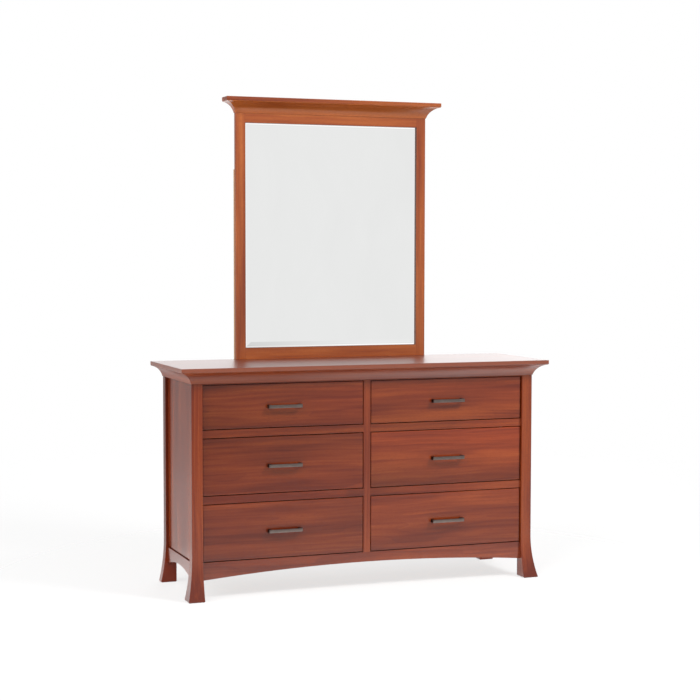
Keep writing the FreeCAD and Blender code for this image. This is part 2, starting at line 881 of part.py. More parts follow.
def mirror_glass():
    """A bevelled plate that stands in the bottom rail's rabbet."""
    width = (glass_half + glass_edge) * 2
    height = glass_high + glass_edge - glass_seat
    body = new_body("glass_plate", -(glass_half + glass_edge), mirror_front + s.mirror_lip, glass_seat)
    bevel = body.newObject("PartDesign::AdditiveWedge", "glass_bevel")
    for axis, reach in (("X", width), ("Z", height)):
        bind(bevel, f"{axis}min", s.glass_bevel_width)
        bind(bevel, f"{axis}max", reach - s.glass_bevel_width)
        bind(bevel, f"{axis}2min", ZERO)
        bind(bevel, f"{axis}2max", reach)
    bind(bevel, "Ymin", ZERO)
    bind(bevel, "Ymax", s.glass_bevel_drop)
    slab = body.newObject("PartDesign::AdditiveBox", "glass_slab")
    bind(slab, "Length", width)
    bind(slab, "Width", s.glass_stock - s.glass_bevel_drop)
    bind(slab, "Height", height)
    bind(slab, "Placement.Base.y", s.glass_bevel_drop)
    body.Tip = slab
    return body


def mirror_backing():
    front = mirror_front + s.mirror_lip + s.glass_stock
    x = (-(glass_half + glass_edge), glass_half + glass_edge)
    return board("backing_board", x, (front, front + s.backing_stock), (glass_seat, glass_high + glass_edge))


def mirror_support():
    """The left batten: screwed to the mirror's stile above and to the case below."""
    x = (support_inset - mirror_half, support_inset - mirror_half + s.support_width)
    y = (case_back, case_back + s.support_stock)
    body = board("support_left", x, y, (support_low, support_low + s.support_length), s.mirror_round, "xz")
    levels = mirror_screw_heights() + [height for _, height in case_screw_places()[:2]]
    sink = s.support_stock - s.support_screw_head_height
    shank = (-s.overrun, s.support_stock)
    head = (sink, s.support_stock + s.overrun)
    for number, level in enumerate(levels):
        spot = s.support_width / 2
        height = level - support_low
        bore(body, spot, shank, height, s.support_screw_diameter, f"support_bore_{number}")
        bore(body, spot, head, height, s.support_screw_head_diameter, f"support_sink_{number}")
    return body


def support_screws():
    """Eight screws, their heads sunk in the supports."""
    screws = []
    head_y = (case_back + s.support_stock - s.support_screw_head_height, case_back + s.support_stock)
    levels = mirror_screw_heights() + [height for _, height in case_screw_places()[:2]]
    for side in (-1, 1):
        for number, level in enumerate(levels):
            spot = support_middle() * side
            name = f"support_screw_{side + 1}_{number}"
            shank_y = (case_back - s.support_screw_grip, head_y[0])
            shank = rod(f"{name}_shank", spot, shank_y, level, s.support_screw_diameter)
            head = rod(f"{name}_head", spot, head_y, level, s.support_screw_head_diameter)
            screws.append(fused(name, [shank, head]))
    return grouped("support_screw_set", screws)


def build_mirror():
    stile = keep(mirror_stile(), "mirror_stile_left")
    keep(mirrored(stile, "mirror_upright_copy"), "mirror_stile_right")
    under_glass = mirror_rail("rail_under_glass", s.dresser_height, glass_low, ZERO, s.mirror_rabbet)
    keep(under_glass, "mirror_rail_bottom")
    over_glass = mirror_rail("rail_over_glass", glass_high, crown_under, s.mirror_rabbet, ZERO)
    keep(over_glass, "mirror_rail_top")
    crown_x = (-(mirror_half + s.crown_overhang), mirror_half + s.crown_overhang)
    crown_y = (mirror_front - s.crown_overhang, case_back)
    keep(board("crown_board", crown_x, crown_y, (crown_under, mirror_top), s.top_round), "mirror_crown_board")
    front = cove_front("crown_cove_front", mirror_half, mirror_front, crown_cove_bottom)
    side = cove_side("crown_cove_left", mirror_half, mirror_front, case_back, crown_cove_bottom)
    lengths = [front, side, mirrored(side, "crown_cove_right")]
    keep(grouped("crown_coves", lengths), "mirror_crown_cove")
    keep(mirror_glass(), "mirror_glass")
    keep(mirror_backing(), "mirror_backing")
    support = mirror_support()
    keep(grouped("supports", [support, mirrored(support, "support_right")]), "mirror_supports")
    keep(support_screws(), "mirror_support_screws")


def check_document():
    """Stop if any feature failed or any sub-part has no sound solid."""
    doc.recompute()
    for item in doc.Objects:
        if "Invalid" in item.State or "Error" in item.State:
            raise RuntimeError(f"{item.Name} failed: {item.State}")
    for feature in exported:
        shape = feature.Shape
        if shape.isNull() or not shape.isValid() or not shape.Solids:
            raise RuntimeError(f"{feature.Label} has no sound solid")


def write_parts():
    os.makedirs("parts", exist_ok=True)
    for feature in exported:
        feature.Shape.exportStep(os.path.join("parts", f"{feature.Label}.step"))
        print(f"{feature.Label}: {len(feature.Shape.Solids)} solids")
    print(len(exported), "sub-parts")


build_case()
build_drawers()
build_mirror()
check_document()
write_parts()
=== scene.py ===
# %% [markdown]
# # A six-drawer dresser with a mirror
#
# This lesson dresses a wide wooden dresser: red-brown stained boards under a satin lacquer, dark metal
# pulls, and a bevelled mirror under a coved crown. The shapes come from a CAD model, which is loaded
# first and never moved. After it come the camera, the light, the finishes and the small metal pieces.

# %% Load the solids
import math

import bmesh
import bpy
from mathutils import Matrix, Vector


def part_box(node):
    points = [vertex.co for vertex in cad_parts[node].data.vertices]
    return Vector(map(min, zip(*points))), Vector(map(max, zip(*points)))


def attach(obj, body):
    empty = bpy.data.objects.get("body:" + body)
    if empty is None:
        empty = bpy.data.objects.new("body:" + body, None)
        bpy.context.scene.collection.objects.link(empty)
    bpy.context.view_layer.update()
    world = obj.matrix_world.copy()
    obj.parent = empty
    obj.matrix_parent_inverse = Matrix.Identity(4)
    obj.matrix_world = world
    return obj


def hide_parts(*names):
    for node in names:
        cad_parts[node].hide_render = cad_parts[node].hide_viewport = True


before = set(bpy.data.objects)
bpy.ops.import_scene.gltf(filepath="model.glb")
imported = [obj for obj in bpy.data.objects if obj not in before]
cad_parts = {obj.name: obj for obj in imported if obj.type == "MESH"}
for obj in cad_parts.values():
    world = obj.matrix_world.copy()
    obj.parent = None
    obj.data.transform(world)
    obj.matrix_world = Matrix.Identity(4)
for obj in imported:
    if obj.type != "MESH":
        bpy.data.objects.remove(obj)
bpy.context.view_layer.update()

# %% [markdown]
# ## The camera
#
# The photograph looks at the dresser from its left, a little above its top, through a long lens. Such
# a camera can be placed by eye, or by matching corners: the corners of the solids were matched with
# the same corners of the photograph until they agreed to half a pixel, and the numbers are kept here.

# %% Camera
CAMERA_PLACE = Vector((-2.4270, -6.3911, 1.3751))
LOOKS_RIGHT = math.radians(20.7781)
LOOKS_DOWN = math.radians(3.4965)
LEANS = math.radians(0.0882)
LENS = 85.175

camera = bpy.data.objects.new("camera", bpy.data.cameras.new("camera"))
bpy.context.scene.collection.objects.link(camera)
camera.data.sensor_width = 36
camera.data.lens = LENS
swing = Matrix.Rotation(-LOOKS_RIGHT, 4, "Z") @ Matrix.Rotation(math.pi / 2 - LOOKS_DOWN, 4, "X")
camera.matrix_world = Matrix.Translation(CAMERA_PLACE) @ swing @ Matrix.Rotation(LEANS, 4, "Z")
bpy.context.scene.camera = camera
bpy.context.scene.view_settings.view_transform = "Standard"
print("camera stands", round(CAMERA_PLACE.length, 2), "m from the dresser's foot")

# %% [markdown]
# ## Small helpers for node trees
#
# A finish is a tree of nodes. The helpers below add a node, set it and wire it in one line, so that
# the recipes further down read as recipes. They could be written out each time, but the wood alone
# needs some forty nodes.

# %% Node helpers
def feed(tree, socket, value):
    """Wire a socket into another one, or set it to a plain value."""
    if isinstance(value, bpy.types.NodeSocket):
        tree.links.new(value, socket)
    else:
        socket.default_value = value


def add_node(tree, kind, inputs=None, **settings):
    """Add one node, set its properties, and feed its inputs by name or number."""
    made = tree.nodes.new("ShaderNode" + kind)
    for name, value in settings.items():
        setattr(made, name, value)
    for key, value in (inputs or {}).items():
        feed(tree, made.inputs[key], value)
    made.location = (len(tree.nodes) * 180, 0)
    return made


def reckon(tree, operation, *values, clamp=False):
    """One sum of a Math node."""
    made = add_node(tree, "Math", dict(enumerate(values)), operation=operation, use_clamp=clamp)
    return made.outputs[0]


def reckon_vector(tree, operation, *values):
    """One sum of a Vector Math node."""
    made = add_node(tree, "VectorMath", dict(enumerate(values)), operation=operation)
    return made.outputs["Value" if operation in ("LENGTH", "DOT_PRODUCT") else "Vector"]


def spread(tree, value, low, high, to_low=0.0, to_high=1.0):
    """Stretch the range from low to high over another range, and hold it at its ends."""
    inputs = {"Value": value, "From Min": low, "From Max": high, "To Min": to_low, "To Max": to_high}
    return add_node(tree, "MapRange", inputs, clamp=True).outputs["Result"]


def mix_values(tree, share, first, second):
    """Two numbers mixed by a share."""
    return add_node(tree, "Mix", {0: share, 2: first, 3: second}).outputs[0]


def mix_vectors(tree, share, first, second):
    """Two vectors mixed by a share."""
    return add_node(tree, "Mix", {0: share, 4: first, 5: second}, data_type="VECTOR").outputs[1]


def blend_colour(tree, share, first, second):
    """Two colours mixed by a share."""
    return add_node(tree, "Mix", {0: share, 6: first, 7: second}, data_type="RGBA").outputs[2]


def split(tree, vector):
    """The X, Y and Z of a vector."""
    return add_node(tree, "SeparateXYZ", {0: vector}).outputs


def stretched_noise(tree, place, scale, detail=2.0, distortion=0.0):
    """Noise with its own scale along each axis, so that its spots are drawn out into streaks."""
    scaled = reckon_vector(tree, "MULTIPLY", place, scale)
    inputs = {"Vector": scaled, "Scale": 1.0, "Detail": detail, "Distortion": distortion}
    return add_node(tree, "TexNoise", inputs).outputs[0]


print("node helpers ready")

# %% [markdown]
# A node group is a recipe that several finishes share. Its sockets are declared first, and then its
# nodes are placed between them. Each finish places the group with its own values.

# %% Group helpers
SOCKETS = {"number": "NodeSocketFloat", "vector": "NodeSocketVector", "colour": "NodeSocketColor"}


def new_group(name, takes, gives):
    """An empty node group, given the kind of each socket that it takes and gives."""
    group = bpy.data.node_groups.new(name, "ShaderNodeTree")
    for in_out, sockets in (("INPUT", takes), ("OUTPUT", gives)):
        for socket_name, kind in sockets.items():
            group.interface.new_socket(socket_name, in_out=in_out, socket_type=SOCKETS[kind])
    return group, group.nodes.new("NodeGroupInput").outputs, group.nodes.new("NodeGroupOutput").inputs


def use_group(tree, group, inputs):
    """Place a shared group in a tree and hand back its outputs."""
    made = add_node(tree, "Group", node_tree=group)
    for name, value in inputs.items():
        feed(tree, made.inputs[name], value)
    return made.outputs


def new_finish(name):
    """A material with an empty Principled shader, its tree, and the place on the piece in metres."""
    material = bpy.data.materials.new(name)
    material.use_nodes = True
    tree = material.node_tree
    place = add_node(tree, "TexCoord").outputs["Object"]
    return material, tree, tree.nodes["Principled BSDF"].inputs, place


print("group helpers ready")

# %% [markdown]
# ## A white studio
#
# The dresser stands in a white room without corners. The world is white to the camera and to
# reflections, and dimmer to the light that falls on the wood, so that the stain keeps its depth. In
# reflections the room is darker straight in front of the dresser and towards its ceiling, and brightest
# behind it on the right, as it is in the photograph. Its front half, which the drawers and the pulls
# mirror, and its back half, which the top and the sides mirror, each go from left to right by
# themselves. The looking glass mirrors the front above the horizon, which is even.
#
# Each gloss below is a brightness in reflections. Each edge is the stretch of the direction's X, Y or Z
# over which one brightness turns into the next.

# %% World
ROOM_LIGHT = 0.36
FRONT_GLOSS, FRONT_EDGE = (0.08, 1.05), (0.25, 0.36)
CORNER_GLOSS, CORNER_EDGE = 0.75, (0.39, 0.46)
LEFT_GLOSS, LEFT_EDGE = 0.9, (-0.35, -0.1)
GLASS_GLOSS, GLASS_EDGE = 1.0, (-0.11, -0.065)
SIDE_GLOSS, SIDE_EDGE = (0.64, 0.42), (-0.16, -0.09)
BACK_GLOSS, BACK_EDGE = 1.45, (-0.25, 0.25)
WINDOW_GLOSS, WINDOW_EDGE = 0.55, (0.32, 0.5)
CEILING_GLOSS, CEILING_EDGE = 0.6, (0.3, 0.8)
FRONT_TO_BACK = (-0.3, 0.6)

world = bpy.data.worlds.new("white_room")
world.use_nodes = True
bpy.context.scene.world = world
sky = world.node_tree
rays = add_node(sky, "LightPath").outputs
ways = split(sky, add_node(sky, "TexCoord").outputs["Generated"])
in_front = spread(sky, ways["X"], *FRONT_EDGE, *FRONT_GLOSS)
in_front = reckon(sky, "MULTIPLY", in_front, spread(sky, ways["X"], *CORNER_EDGE, 1.0, CORNER_GLOSS))
in_front = reckon(sky, "MAXIMUM", in_front, spread(sky, ways["X"], *LEFT_EDGE, LEFT_GLOSS, 0.0))
in_front = mix_values(sky, spread(sky, ways["Z"], *GLASS_EDGE), in_front, GLASS_GLOSS)
aside = spread(sky, ways["Z"], *SIDE_EDGE, *SIDE_GLOSS)
behind = spread(sky, ways["X"], *BACK_EDGE, aside, BACK_GLOSS)
behind = reckon(sky, "ADD", behind, spread(sky, ways["X"], *WINDOW_EDGE, 0.0, WINDOW_GLOSS))
gloss = mix_values(sky, spread(sky, ways["Y"], *FRONT_TO_BACK), in_front, behind)
gloss = reckon(sky, "MULTIPLY", gloss, spread(sky, ways["Z"], *CEILING_EDGE, 1.0, CEILING_GLOSS))
mirrored_rays = reckon(sky, "MAXIMUM", rays["Is Glossy Ray"], rays["Is Transmission Ray"])
unseen = mix_values(sky, mirrored_rays, ROOM_LIGHT, gloss)
seen = mix_values(sky, rays["Is Camera Ray"], unseen, 1.0)
feed(sky, sky.nodes["Background"].inputs["Color"], (1, 1, 1, 1))
feed(sky, sky.nodes["Background"].inputs["Strength"], seen)
print("world: light", ROOM_LIGHT, "reflections in front", FRONT_GLOSS, "behind", SIDE_GLOSS, BACK_GLOSS)

# %% [markdown]
# The floor is a flat disc of the same white. It fades out towards its rim, where the room's white
# takes over, so that no horizon shows. Near the dresser it catches a soft shadow. It sends less light
# back up than it shows, or the underside of the coves would lose its shade. About the feet it has a
# painted glow, less on the left, which only reflections see, so the lacquer mirrors it bright there.
# A plane with a bend at its back would also do, but a disc looks the same from every side.

# %% Floor
FLOOR_REACH, FLOOR_FULL = 4.5, 1.0
FLOOR_WHITE, SENT_BACK = 0.97, 0.88
SHADOW_KEPT = 0.3
# Painted glow: about the feet the floor emits light that only reflections see.
FOOT_PAINTED_GLOW, FOOT_EDGE = 0.9, (0.9, 1.3)
FOOT_STRETCH = (0.6, 1.2, 0.0)
LEFT_FOOT_SHARE, LEFT_FOOT_EDGE = 0.7, (-1.0, 0.2)

floor_shape = bmesh.new()
bmesh.ops.create_circle(floor_shape, cap_ends=True, segments=96, radius=FLOOR_REACH)
floor_mesh = bpy.data.meshes.new("floor")
floor_shape.to_mesh(floor_mesh)
floor_shape.free()
floor = bpy.data.objects.new("floor", floor_mesh)
bpy.context.scene.collection.objects.link(floor)

floor_paint, tree, shader, place = new_finish("floor_paint")
rays = add_node(tree, "LightPath").outputs
shades = [(white, white, white, 1) for white in (FLOOR_WHITE, SENT_BACK)]
feed(tree, shader["Base Color"], blend_colour(tree, rays["Is Diffuse Ray"], *shades))
feed(tree, shader["Roughness"], 0.9)
feed(tree, shader["Specular IOR Level"], 0.0)
by_the_feet = reckon_vector(tree, "LENGTH", reckon_vector(tree, "MULTIPLY", place, FOOT_STRETCH))
painted_glow = spread(tree, by_the_feet, *FOOT_EDGE, FOOT_PAINTED_GLOW, 0.0)
painted_glow = reckon(tree, "MULTIPLY", painted_glow, rays["Is Glossy Ray"])
left_share = spread(tree, split(tree, place)["X"], *LEFT_FOOT_EDGE, LEFT_FOOT_SHARE, 1.0)
feed(tree, shader["Emission Color"], (1, 1, 1, 1))
feed(tree, shader["Emission Strength"], reckon(tree, "MULTIPLY", painted_glow, left_share))
fade = spread(tree, reckon_vector(tree, "LENGTH", place), FLOOR_FULL, FLOOR_REACH, 1.0, 0.0)
seen_share = spread(tree, rays["Is Camera Ray"], 0.0, 1.0, 1.0, SHADOW_KEPT)
cover = reckon(tree, "MULTIPLY", fade, seen_share)
clear = add_node(tree, "BsdfTransparent").outputs[0]
mixed = add_node(tree, "MixShader", {0: cover, 1: clear, 2: tree.nodes["Principled BSDF"].outputs[0]})
feed(tree, tree.nodes["Material Output"].inputs["Surface"], mixed.outputs[0])
floor_mesh.materials.append(floor_paint)
print("floor reaches", FLOOR_REACH, "m")

# %% [markdown]
# Four large soft lamps stand round the dresser. Two hang high in front of it, one on each side. At
# their height the edge of the top throws its shadow just over the heads of the drawers, and the legs
# throw theirs on the drawers' ends. The third lights the left side and the last one the back. They
# light the wood only: the mirror doesn't show them.

# %% Lamps
AIM = Vector((0, 0, 0.7))
LAMPS = {  # place, size and power
    "lamp_front_left": ((-3.0, -3.6, 4.9), 1.7, 116),
    "lamp_front_right": ((3.0, -3.6, 4.9), 1.7, 275),
    "lamp_side": ((-4.7, -1.4, 2.6), 2.0, 116),
    "lamp_back": ((1.6, 5.0, 2.2), 2.2, 110),
}

for name, (spot, size, power) in LAMPS.items():
    lamp = bpy.data.objects.new(name, bpy.data.lights.new(name, "AREA"))
    lamp.data.size = size
    lamp.data.energy = power
    lamp.location = spot
    lamp.rotation_euler = (AIM - Vector(spot)).to_track_quat("-Z", "Y").to_euler()
    lamp.visible_glossy = False
    bpy.context.scene.collection.objects.link(lamp)
print(len(LAMPS), "soft lamps")

# %% [markdown]
# ## The figure of a board
#
# Wood has structure at several sizes at once. Across a drawer front the photograph shows long, quiet
# bands of darker and warmer brown, a few fingers wide. Inside them run finer streaks and the growth
# rings, and at arm's length come fibres and pores. A picture of wood could carry all that, but it
# would repeat and would not turn round a corner. So the figure is worked out in space: the grain runs
# along X, and each board is cut from another place of the same endless log.

# %% Board figure
# Spots of noise per metre, along the grain and across it.
BEND = (1.5, 5.0, 5.0)
FLAME = (1.2, 15.0, 15.0)
STREAK = (2.6, 95.0, 95.0)
FIBRE = (14.0, 600.0, 600.0)
PORE = (70.0, 1500.0, 1500.0)
UNEVEN = (0.5, 22.0, 22.0)
RING_STEEPNESS = 2.5
PORE_DEPTH = 0.8

board_figure, takes, gives = new_group(
    "board_figure",
    {"Place": "vector", "Ring width": "number", "Waviness": "number"},
    {"Flame": "number", "Rings": "number", "Streaks": "number", "Pores": "number", "Height": "number"},
)
tree = board_figure
bent = add_node(tree, "TexNoise", {"Scale": 1.0, "Detail": 2.0})
feed(tree, bent.inputs["Vector"], reckon_vector(tree, "MULTIPLY", takes["Place"], BEND))
shift = reckon_vector(tree, "SUBTRACT", bent.outputs["Color"], (0.5, 0.5, 0.5))
across_only = add_node(tree, "CombineXYZ", {1: takes["Waviness"], 2: takes["Waviness"]}).outputs[0]
wavy = reckon_vector(tree, "MULTIPLY_ADD", shift, across_only, takes["Place"])
flame = stretched_noise(tree, wavy, FLAME, detail=3.0, distortion=0.2)
streaks = stretched_noise(tree, wavy, STREAK, detail=4.0)
fibres = stretched_noise(tree, wavy, FIBRE)
pores = stretched_noise(tree, wavy, PORE, detail=0.0)

trunk = reckon_vector(tree, "LENGTH", reckon_vector(tree, "MULTIPLY", wavy, (0.0, 1.0, 1.0)))
turns = reckon(tree, "DIVIDE", trunk, takes["Ring width"])
uneven = stretched_noise(tree, wavy, UNEVEN, detail=1.0)
turns = reckon(tree, "ADD", turns, reckon(tree, "MULTIPLY", uneven, 2.0))
rings = reckon(tree, "POWER", reckon(tree, "FRACT", turns), RING_STEEPNESS)

# Noise stays about its middle, so that part of its range is spread out.
feed(tree, gives["Flame"], spread(tree, flame, 0.33, 0.67))
feed(tree, gives["Rings"], rings)
feed(tree, gives["Streaks"], spread(tree, streaks, 0.3, 0.7))
pore_mask = spread(tree, pores, 0.62, 0.7)
feed(tree, gives["Pores"], pore_mask)
grooves = reckon(tree, "MULTIPLY", pore_mask, PORE_DEPTH)
feed(tree, gives["Height"], reckon(tree, "SUBTRACT", fibres, grooves))
print("board figure:", len(tree.nodes), "nodes")

# %% [markdown]
# The stain turns that figure into colour. It soaks into the soft parts and stays thin on the hard
# ones, so that one board holds a dark, a middle and a light tone. Pores collect stain and go darkest.

# %% Stain
FLAME_WEIGHT, STREAK_WEIGHT, RING_WEIGHT, BASE_LEVEL = 0.75, 0.46, -0.18, 0.1
PORE_STAIN = 0.4

FIGURE = ("Flame", "Rings", "Streaks", "Pores")
takes = {name: "number" for name in (*FIGURE, "Tone")}
takes |= {name: "colour" for name in ("Dark", "Middle", "Light")}
stain, takes, gives = new_group("stain", takes, {"Colour": "colour"})
tree = stain
level = reckon(tree, "MULTIPLY_ADD", takes["Flame"], FLAME_WEIGHT, takes["Tone"])
level = reckon(tree, "MULTIPLY_ADD", takes["Streaks"], STREAK_WEIGHT, level)
level = reckon(tree, "MULTIPLY_ADD", takes["Rings"], RING_WEIGHT, level)
level = reckon(tree, "SUBTRACT", level, BASE_LEVEL)
to_middle = reckon(tree, "MULTIPLY", level, 2.0, clamp=True)
to_light = reckon(tree, "MULTIPLY_ADD", level, 2.0, -1.0, clamp=True)
colour = blend_colour(tree, to_middle, takes["Dark"], takes["Middle"])
colour = blend_colour(tree, to_light, colour, takes["Light"])
soaked = reckon(tree, "MULTIPLY", takes["Pores"], PORE_STAIN)
feed(tree, gives["Colour"], blend_colour(tree, soaked, colour, takes["Dark"]))
print("stain:", len(tree.nodes), "nodes")

# %% [markdown]
# No edge of real furniture is sharp. A maker eases it with sandpaper, and hands rub the finish thinner
# there. The Bevel node finds edges by looking round each point. It gives a normal that bends over the
# edge, and where that differs from the flat normal, a mask for the rubbed finish.

# %% Eased edge
FLAT, TURNED = 0.99, 0.78  # how far the bent normal still agrees with the flat one

eased_edge, takes, gives = new_group(
    "eased_edge",
    {"Radius": "number", "Place": "vector", "Patchiness": "number"},
    {"Edge": "number", "Normal": "vector"},
)
tree = eased_edge
rounded = add_node(tree, "Bevel", {"Radius": takes["Radius"]}, samples=6).outputs[0]
flat = add_node(tree, "NewGeometry").outputs["Normal"]
agreement = reckon_vector(tree, "DOT_PRODUCT", rounded, flat)
turned = spread(tree, agreement, FLAT, TURNED)
patches = add_node(tree, "TexNoise", {"Vector": takes["Place"], "Scale": takes["Patchiness"], "Detail": 2.0})
worn = spread(tree, patches.outputs[0], 0.3, 0.65, 0.25, 1.0)
feed(tree, gives["Edge"], reckon(tree, "MULTIPLY", turned, worn))
feed(tree, gives["Normal"], rounded)
print("eased edge:", len(tree.nodes), "nodes")

# %% [markdown]
# Wide panels such as the top and the sides are glued up from staves. This group numbers the staves
# across a panel and moves each one to another part of the log, with a slightly different tone.

# %% Glued staves
glued_staves, takes, gives = new_group(
    "glued_staves",
    {"Place": "vector", "Across": "number", "Stave width": "number"},
    {"Place": "vector", "Tone": "number"},
)
tree = glued_staves
number = reckon(tree, "FLOOR", reckon(tree, "DIVIDE", takes["Across"], takes["Stave width"]))
chance = add_node(tree, "TexWhiteNoise", {"W": number}, noise_dimensions="1D")
jump = reckon_vector(tree, "MULTIPLY", chance.outputs["Color"], (3.0, 0.0, 0.0))
feed(tree, gives["Place"], reckon_vector(tree, "ADD", takes["Place"], jump))
feed(tree, gives["Tone"], spread(tree, chance.outputs["Value"], 0.0, 1.0, -0.12, 0.12))
print("glued staves:", len(tree.nodes), "nodes")

# %% [markdown]
# ## The stained, lacquered boards
#
# The whole outside is one red-brown wood under a satin lacquer. Each board gets its own material, from
# one recipe: the direction of its grain, its place in the log, and its tone. The lacquer is the
# shader's coat, which brightens where the eye meets the wood at a low angle, as the top does here.
# All the shine is the lacquer's: it fills the wood's pores, so the layer under it has none of its own.

# %% Lacquered boards
RED_BROWN = {
    "Dark": (0.118, 0.015, 0.004, 1),
    "Middle": (0.198, 0.031, 0.007, 1),
    "Light": (0.290, 0.056, 0.011, 1),
}
RUBBED = (0.36, 0.085, 0.022, 1)
OUTSIDE = {"waviness": 0.03, "ease": 0.0015, "rub": 0.45, "roughness": (0.42, 0.50), "bump": 0.25}
RING_WIDTH, FIBRE_DEPTH, WOOD_PATCHES = 0.009, 0.0003, 60.0
LACQUER_IOR, SATIN = 1.46, 0.2
TURNS = {"x": (0, 0, 0), "y": (0, 0, -math.pi / 2), "z": (0, math.pi / 2, 0)}
LOG_STEP = 0.37


def in_the_log(tree, place, grain, middle, number, heart):
    """The place in the log: the grain along X, the board's middle at a distance from the heart."""
    centred = reckon_vector(tree, "SUBTRACT", place, middle)
    location = (LOG_STEP * number, heart[0], heart[1])
    inputs = {"Vector": centred, "Location": location, "Rotation": TURNS[grain]}
    return add_node(tree, "Mapping", inputs).outputs[0]


def middle_of(node):
    """The middle of a CAD node's box."""
    low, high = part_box(node)
    return (low + high) / 2


def lay_wood(tree, shader, place, log_place, tone, tones, rubbed, look, rings, shade=None):
    """Figure, stain and eased edges; a shade makes the stain darker or lighter in places."""
    spots = {"Place": log_place, "Ring width": rings, "Waviness": look["waviness"]}
    figure = use_group(tree, board_figure, spots)
    easing = {"Radius": look["ease"], "Place": place, "Patchiness": WOOD_PATCHES}
    edge = use_group(tree, eased_edge, easing)
    parts = {name: figure[name] for name in FIGURE}
    colour = use_group(tree, stain, {**parts, "Tone": tone, **tones})["Colour"]
    colour = blend_colour(tree, reckon(tree, "MULTIPLY", edge["Edge"], look["rub"]), colour, rubbed)
    if shade is not None:
        colour = reckon_vector(tree, "MULTIPLY", colour, shade)
    feed(tree, shader["Base Color"], colour)
    feed(tree, shader["Roughness"], spread(tree, figure["Streaks"], 0.0, 1.0, *look["roughness"]))
    bump = {"Height": figure["Height"], "Normal": edge["Normal"]}
    bump |= {"Strength": look["bump"], "Distance": FIBRE_DEPTH}
    feed(tree, shader["Normal"], add_node(tree, "Bump", bump).outputs[0])


def finish_board(tree, shader, place, log_place, tone, tones=RED_BROWN, shade=None, dull=SATIN):
    """Stained wood under the lacquer."""
    lay_wood(tree, shader, place, log_place, tone, tones, RUBBED, OUTSIDE, RING_WIDTH, shade)
    feed(tree, shader["Specular IOR Level"], 0.0)
    feed(tree, shader["Coat Weight"], 1.0)
    feed(tree, shader["Coat IOR"], LACQUER_IOR)
    feed(tree, shader["Coat Roughness"], dull)


def dress(node, material):
    """Give a CAD node its finish."""
    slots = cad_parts[node].data.materials
    slots.clear()
    slots.append(material)


print("a board's lacquer bends light by", LACQUER_IOR)

# %% [markdown]
# The boards are listed by the way their grain runs: along the front, up the legs and stiles, or from
# front to back. Two numbers place each board against the heart of the log: far away the rings are
# straight and quiet, and close by they open into long pointed arches. The boards of the mirror's frame
# are paler than those of the case.

# %% Boards along the front, upright boards, boards front to back
PALER = {
    "Dark": (0.190, 0.032, 0.008, 1),
    "Middle": (0.300, 0.066, 0.013, 1),
    "Light": (0.400, 0.105, 0.022, 1),
}
BOARDS = {  # way of the grain, tone, place of the log's heart
    "top_rail_front": ("x", 0.00, (0.30, 0.05)),
    "drawer_rails": ("x", -0.10, (0.35, 0.10)),
    "front_apron": ("x", -0.20, (0.22, 0.03)),
    "top_cove_front": ("x", 0.16, (0.30, 0.08)),
    "back_rails": ("x", 0.00, (0.30, 0.06)),
    "mirror_rail_bottom": ("x", 0.20, (0.28, 0.08)),
    "mirror_rail_top": ("x", 0.20, (0.26, 0.05)),
    "mirror_crown_board": ("x", 0.00, (0.10, 0.30)),
    "leg_front_left": ("z", -0.14, (0.06, 0.25)),
    "leg_front_right": ("z", 0.06, (0.05, 0.30)),
    # The left back leg's low tone is a painted shade: its forward face stands back in the recess.
    "leg_back_left": ("z", -0.60, (0.06, 0.30)),
    "leg_back_right": ("z", 0.02, (0.08, 0.26)),
    "centre_stile": ("z", 0.04, (0.06, 0.30)),
    "mirror_stile_left": ("z", 0.08, (0.07, 0.28)),
    "mirror_stile_right": ("z", 0.18, (0.05, 0.33)),
    "top_cove_sides": ("y", 0.12, (0.30, 0.08)),
    "side_rails_upper": ("y", 0.00, (0.30, 0.06)),
    "side_rails_lower": ("y", 0.00, (0.26, 0.05)),
}
print(len(BOARDS), "boards listed")

# %% [markdown]
# Some of them don't have one shade all over. The rails between the drawers and the apron go darker
# and lighter along their length. The back legs are painted darker above their feet, a painted shade where
# their forward faces stand back in the recess. And on the mirror's frame, a painted shade darkens the inner
# edge, where the frame's lip meets the glass.

# %% Shades that change along a board
FOOT_TOP = 0.17
RAILS_MIDDLE = middle_of("drawer_rails").z
UPPER_RAILS = (0.36, 0.50, 0.78, 1.10)  # from one X to another, the first shade gives way to the second
LOWER_RAILS_LEFT = (-0.1, 0.0, 1.04, 0.0)
LOWER_RAILS_RIGHT = (0.12, 0.22, 0.80, 1.03)
APRON = (-0.7, 0.3, 0.92, 1.0)
# Painted shade on the back legs above their feet, lighter again at the feet.
BACK_LEGS_PAINTED_SHADE = (0.10, FOOT_TOP, 1.5, 0.8)  # the same from one Z to another
# Painted shade along the inner edge of the mirror's frame, where the lip meets the glass.
LIP_PAINTED_SHADE = (0.00098, 0.0014, 0.35, 1.0)  # and from one distance from the opening to another
stile_low, stile_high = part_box("mirror_stile_left")
opening_low, opening_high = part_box("mirror_rail_bottom")[1].z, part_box("mirror_rail_top")[0].z


def past_opening(tree, place):
    """How far a point lies outside the opening of the mirror's frame; less than nothing inside it."""
    axes = split(tree, place)
    beside = reckon(tree, "ADD", reckon(tree, "ABSOLUTE", axes["X"]), stile_high.x)
    from_middle = reckon(tree, "SUBTRACT", axes["Z"], (opening_low + opening_high) / 2)
    above = reckon(tree, "SUBTRACT", reckon(tree, "ABSOLUTE", from_middle), (opening_high - opening_low) / 2)
    return reckon(tree, "MAXIMUM", beside, above)


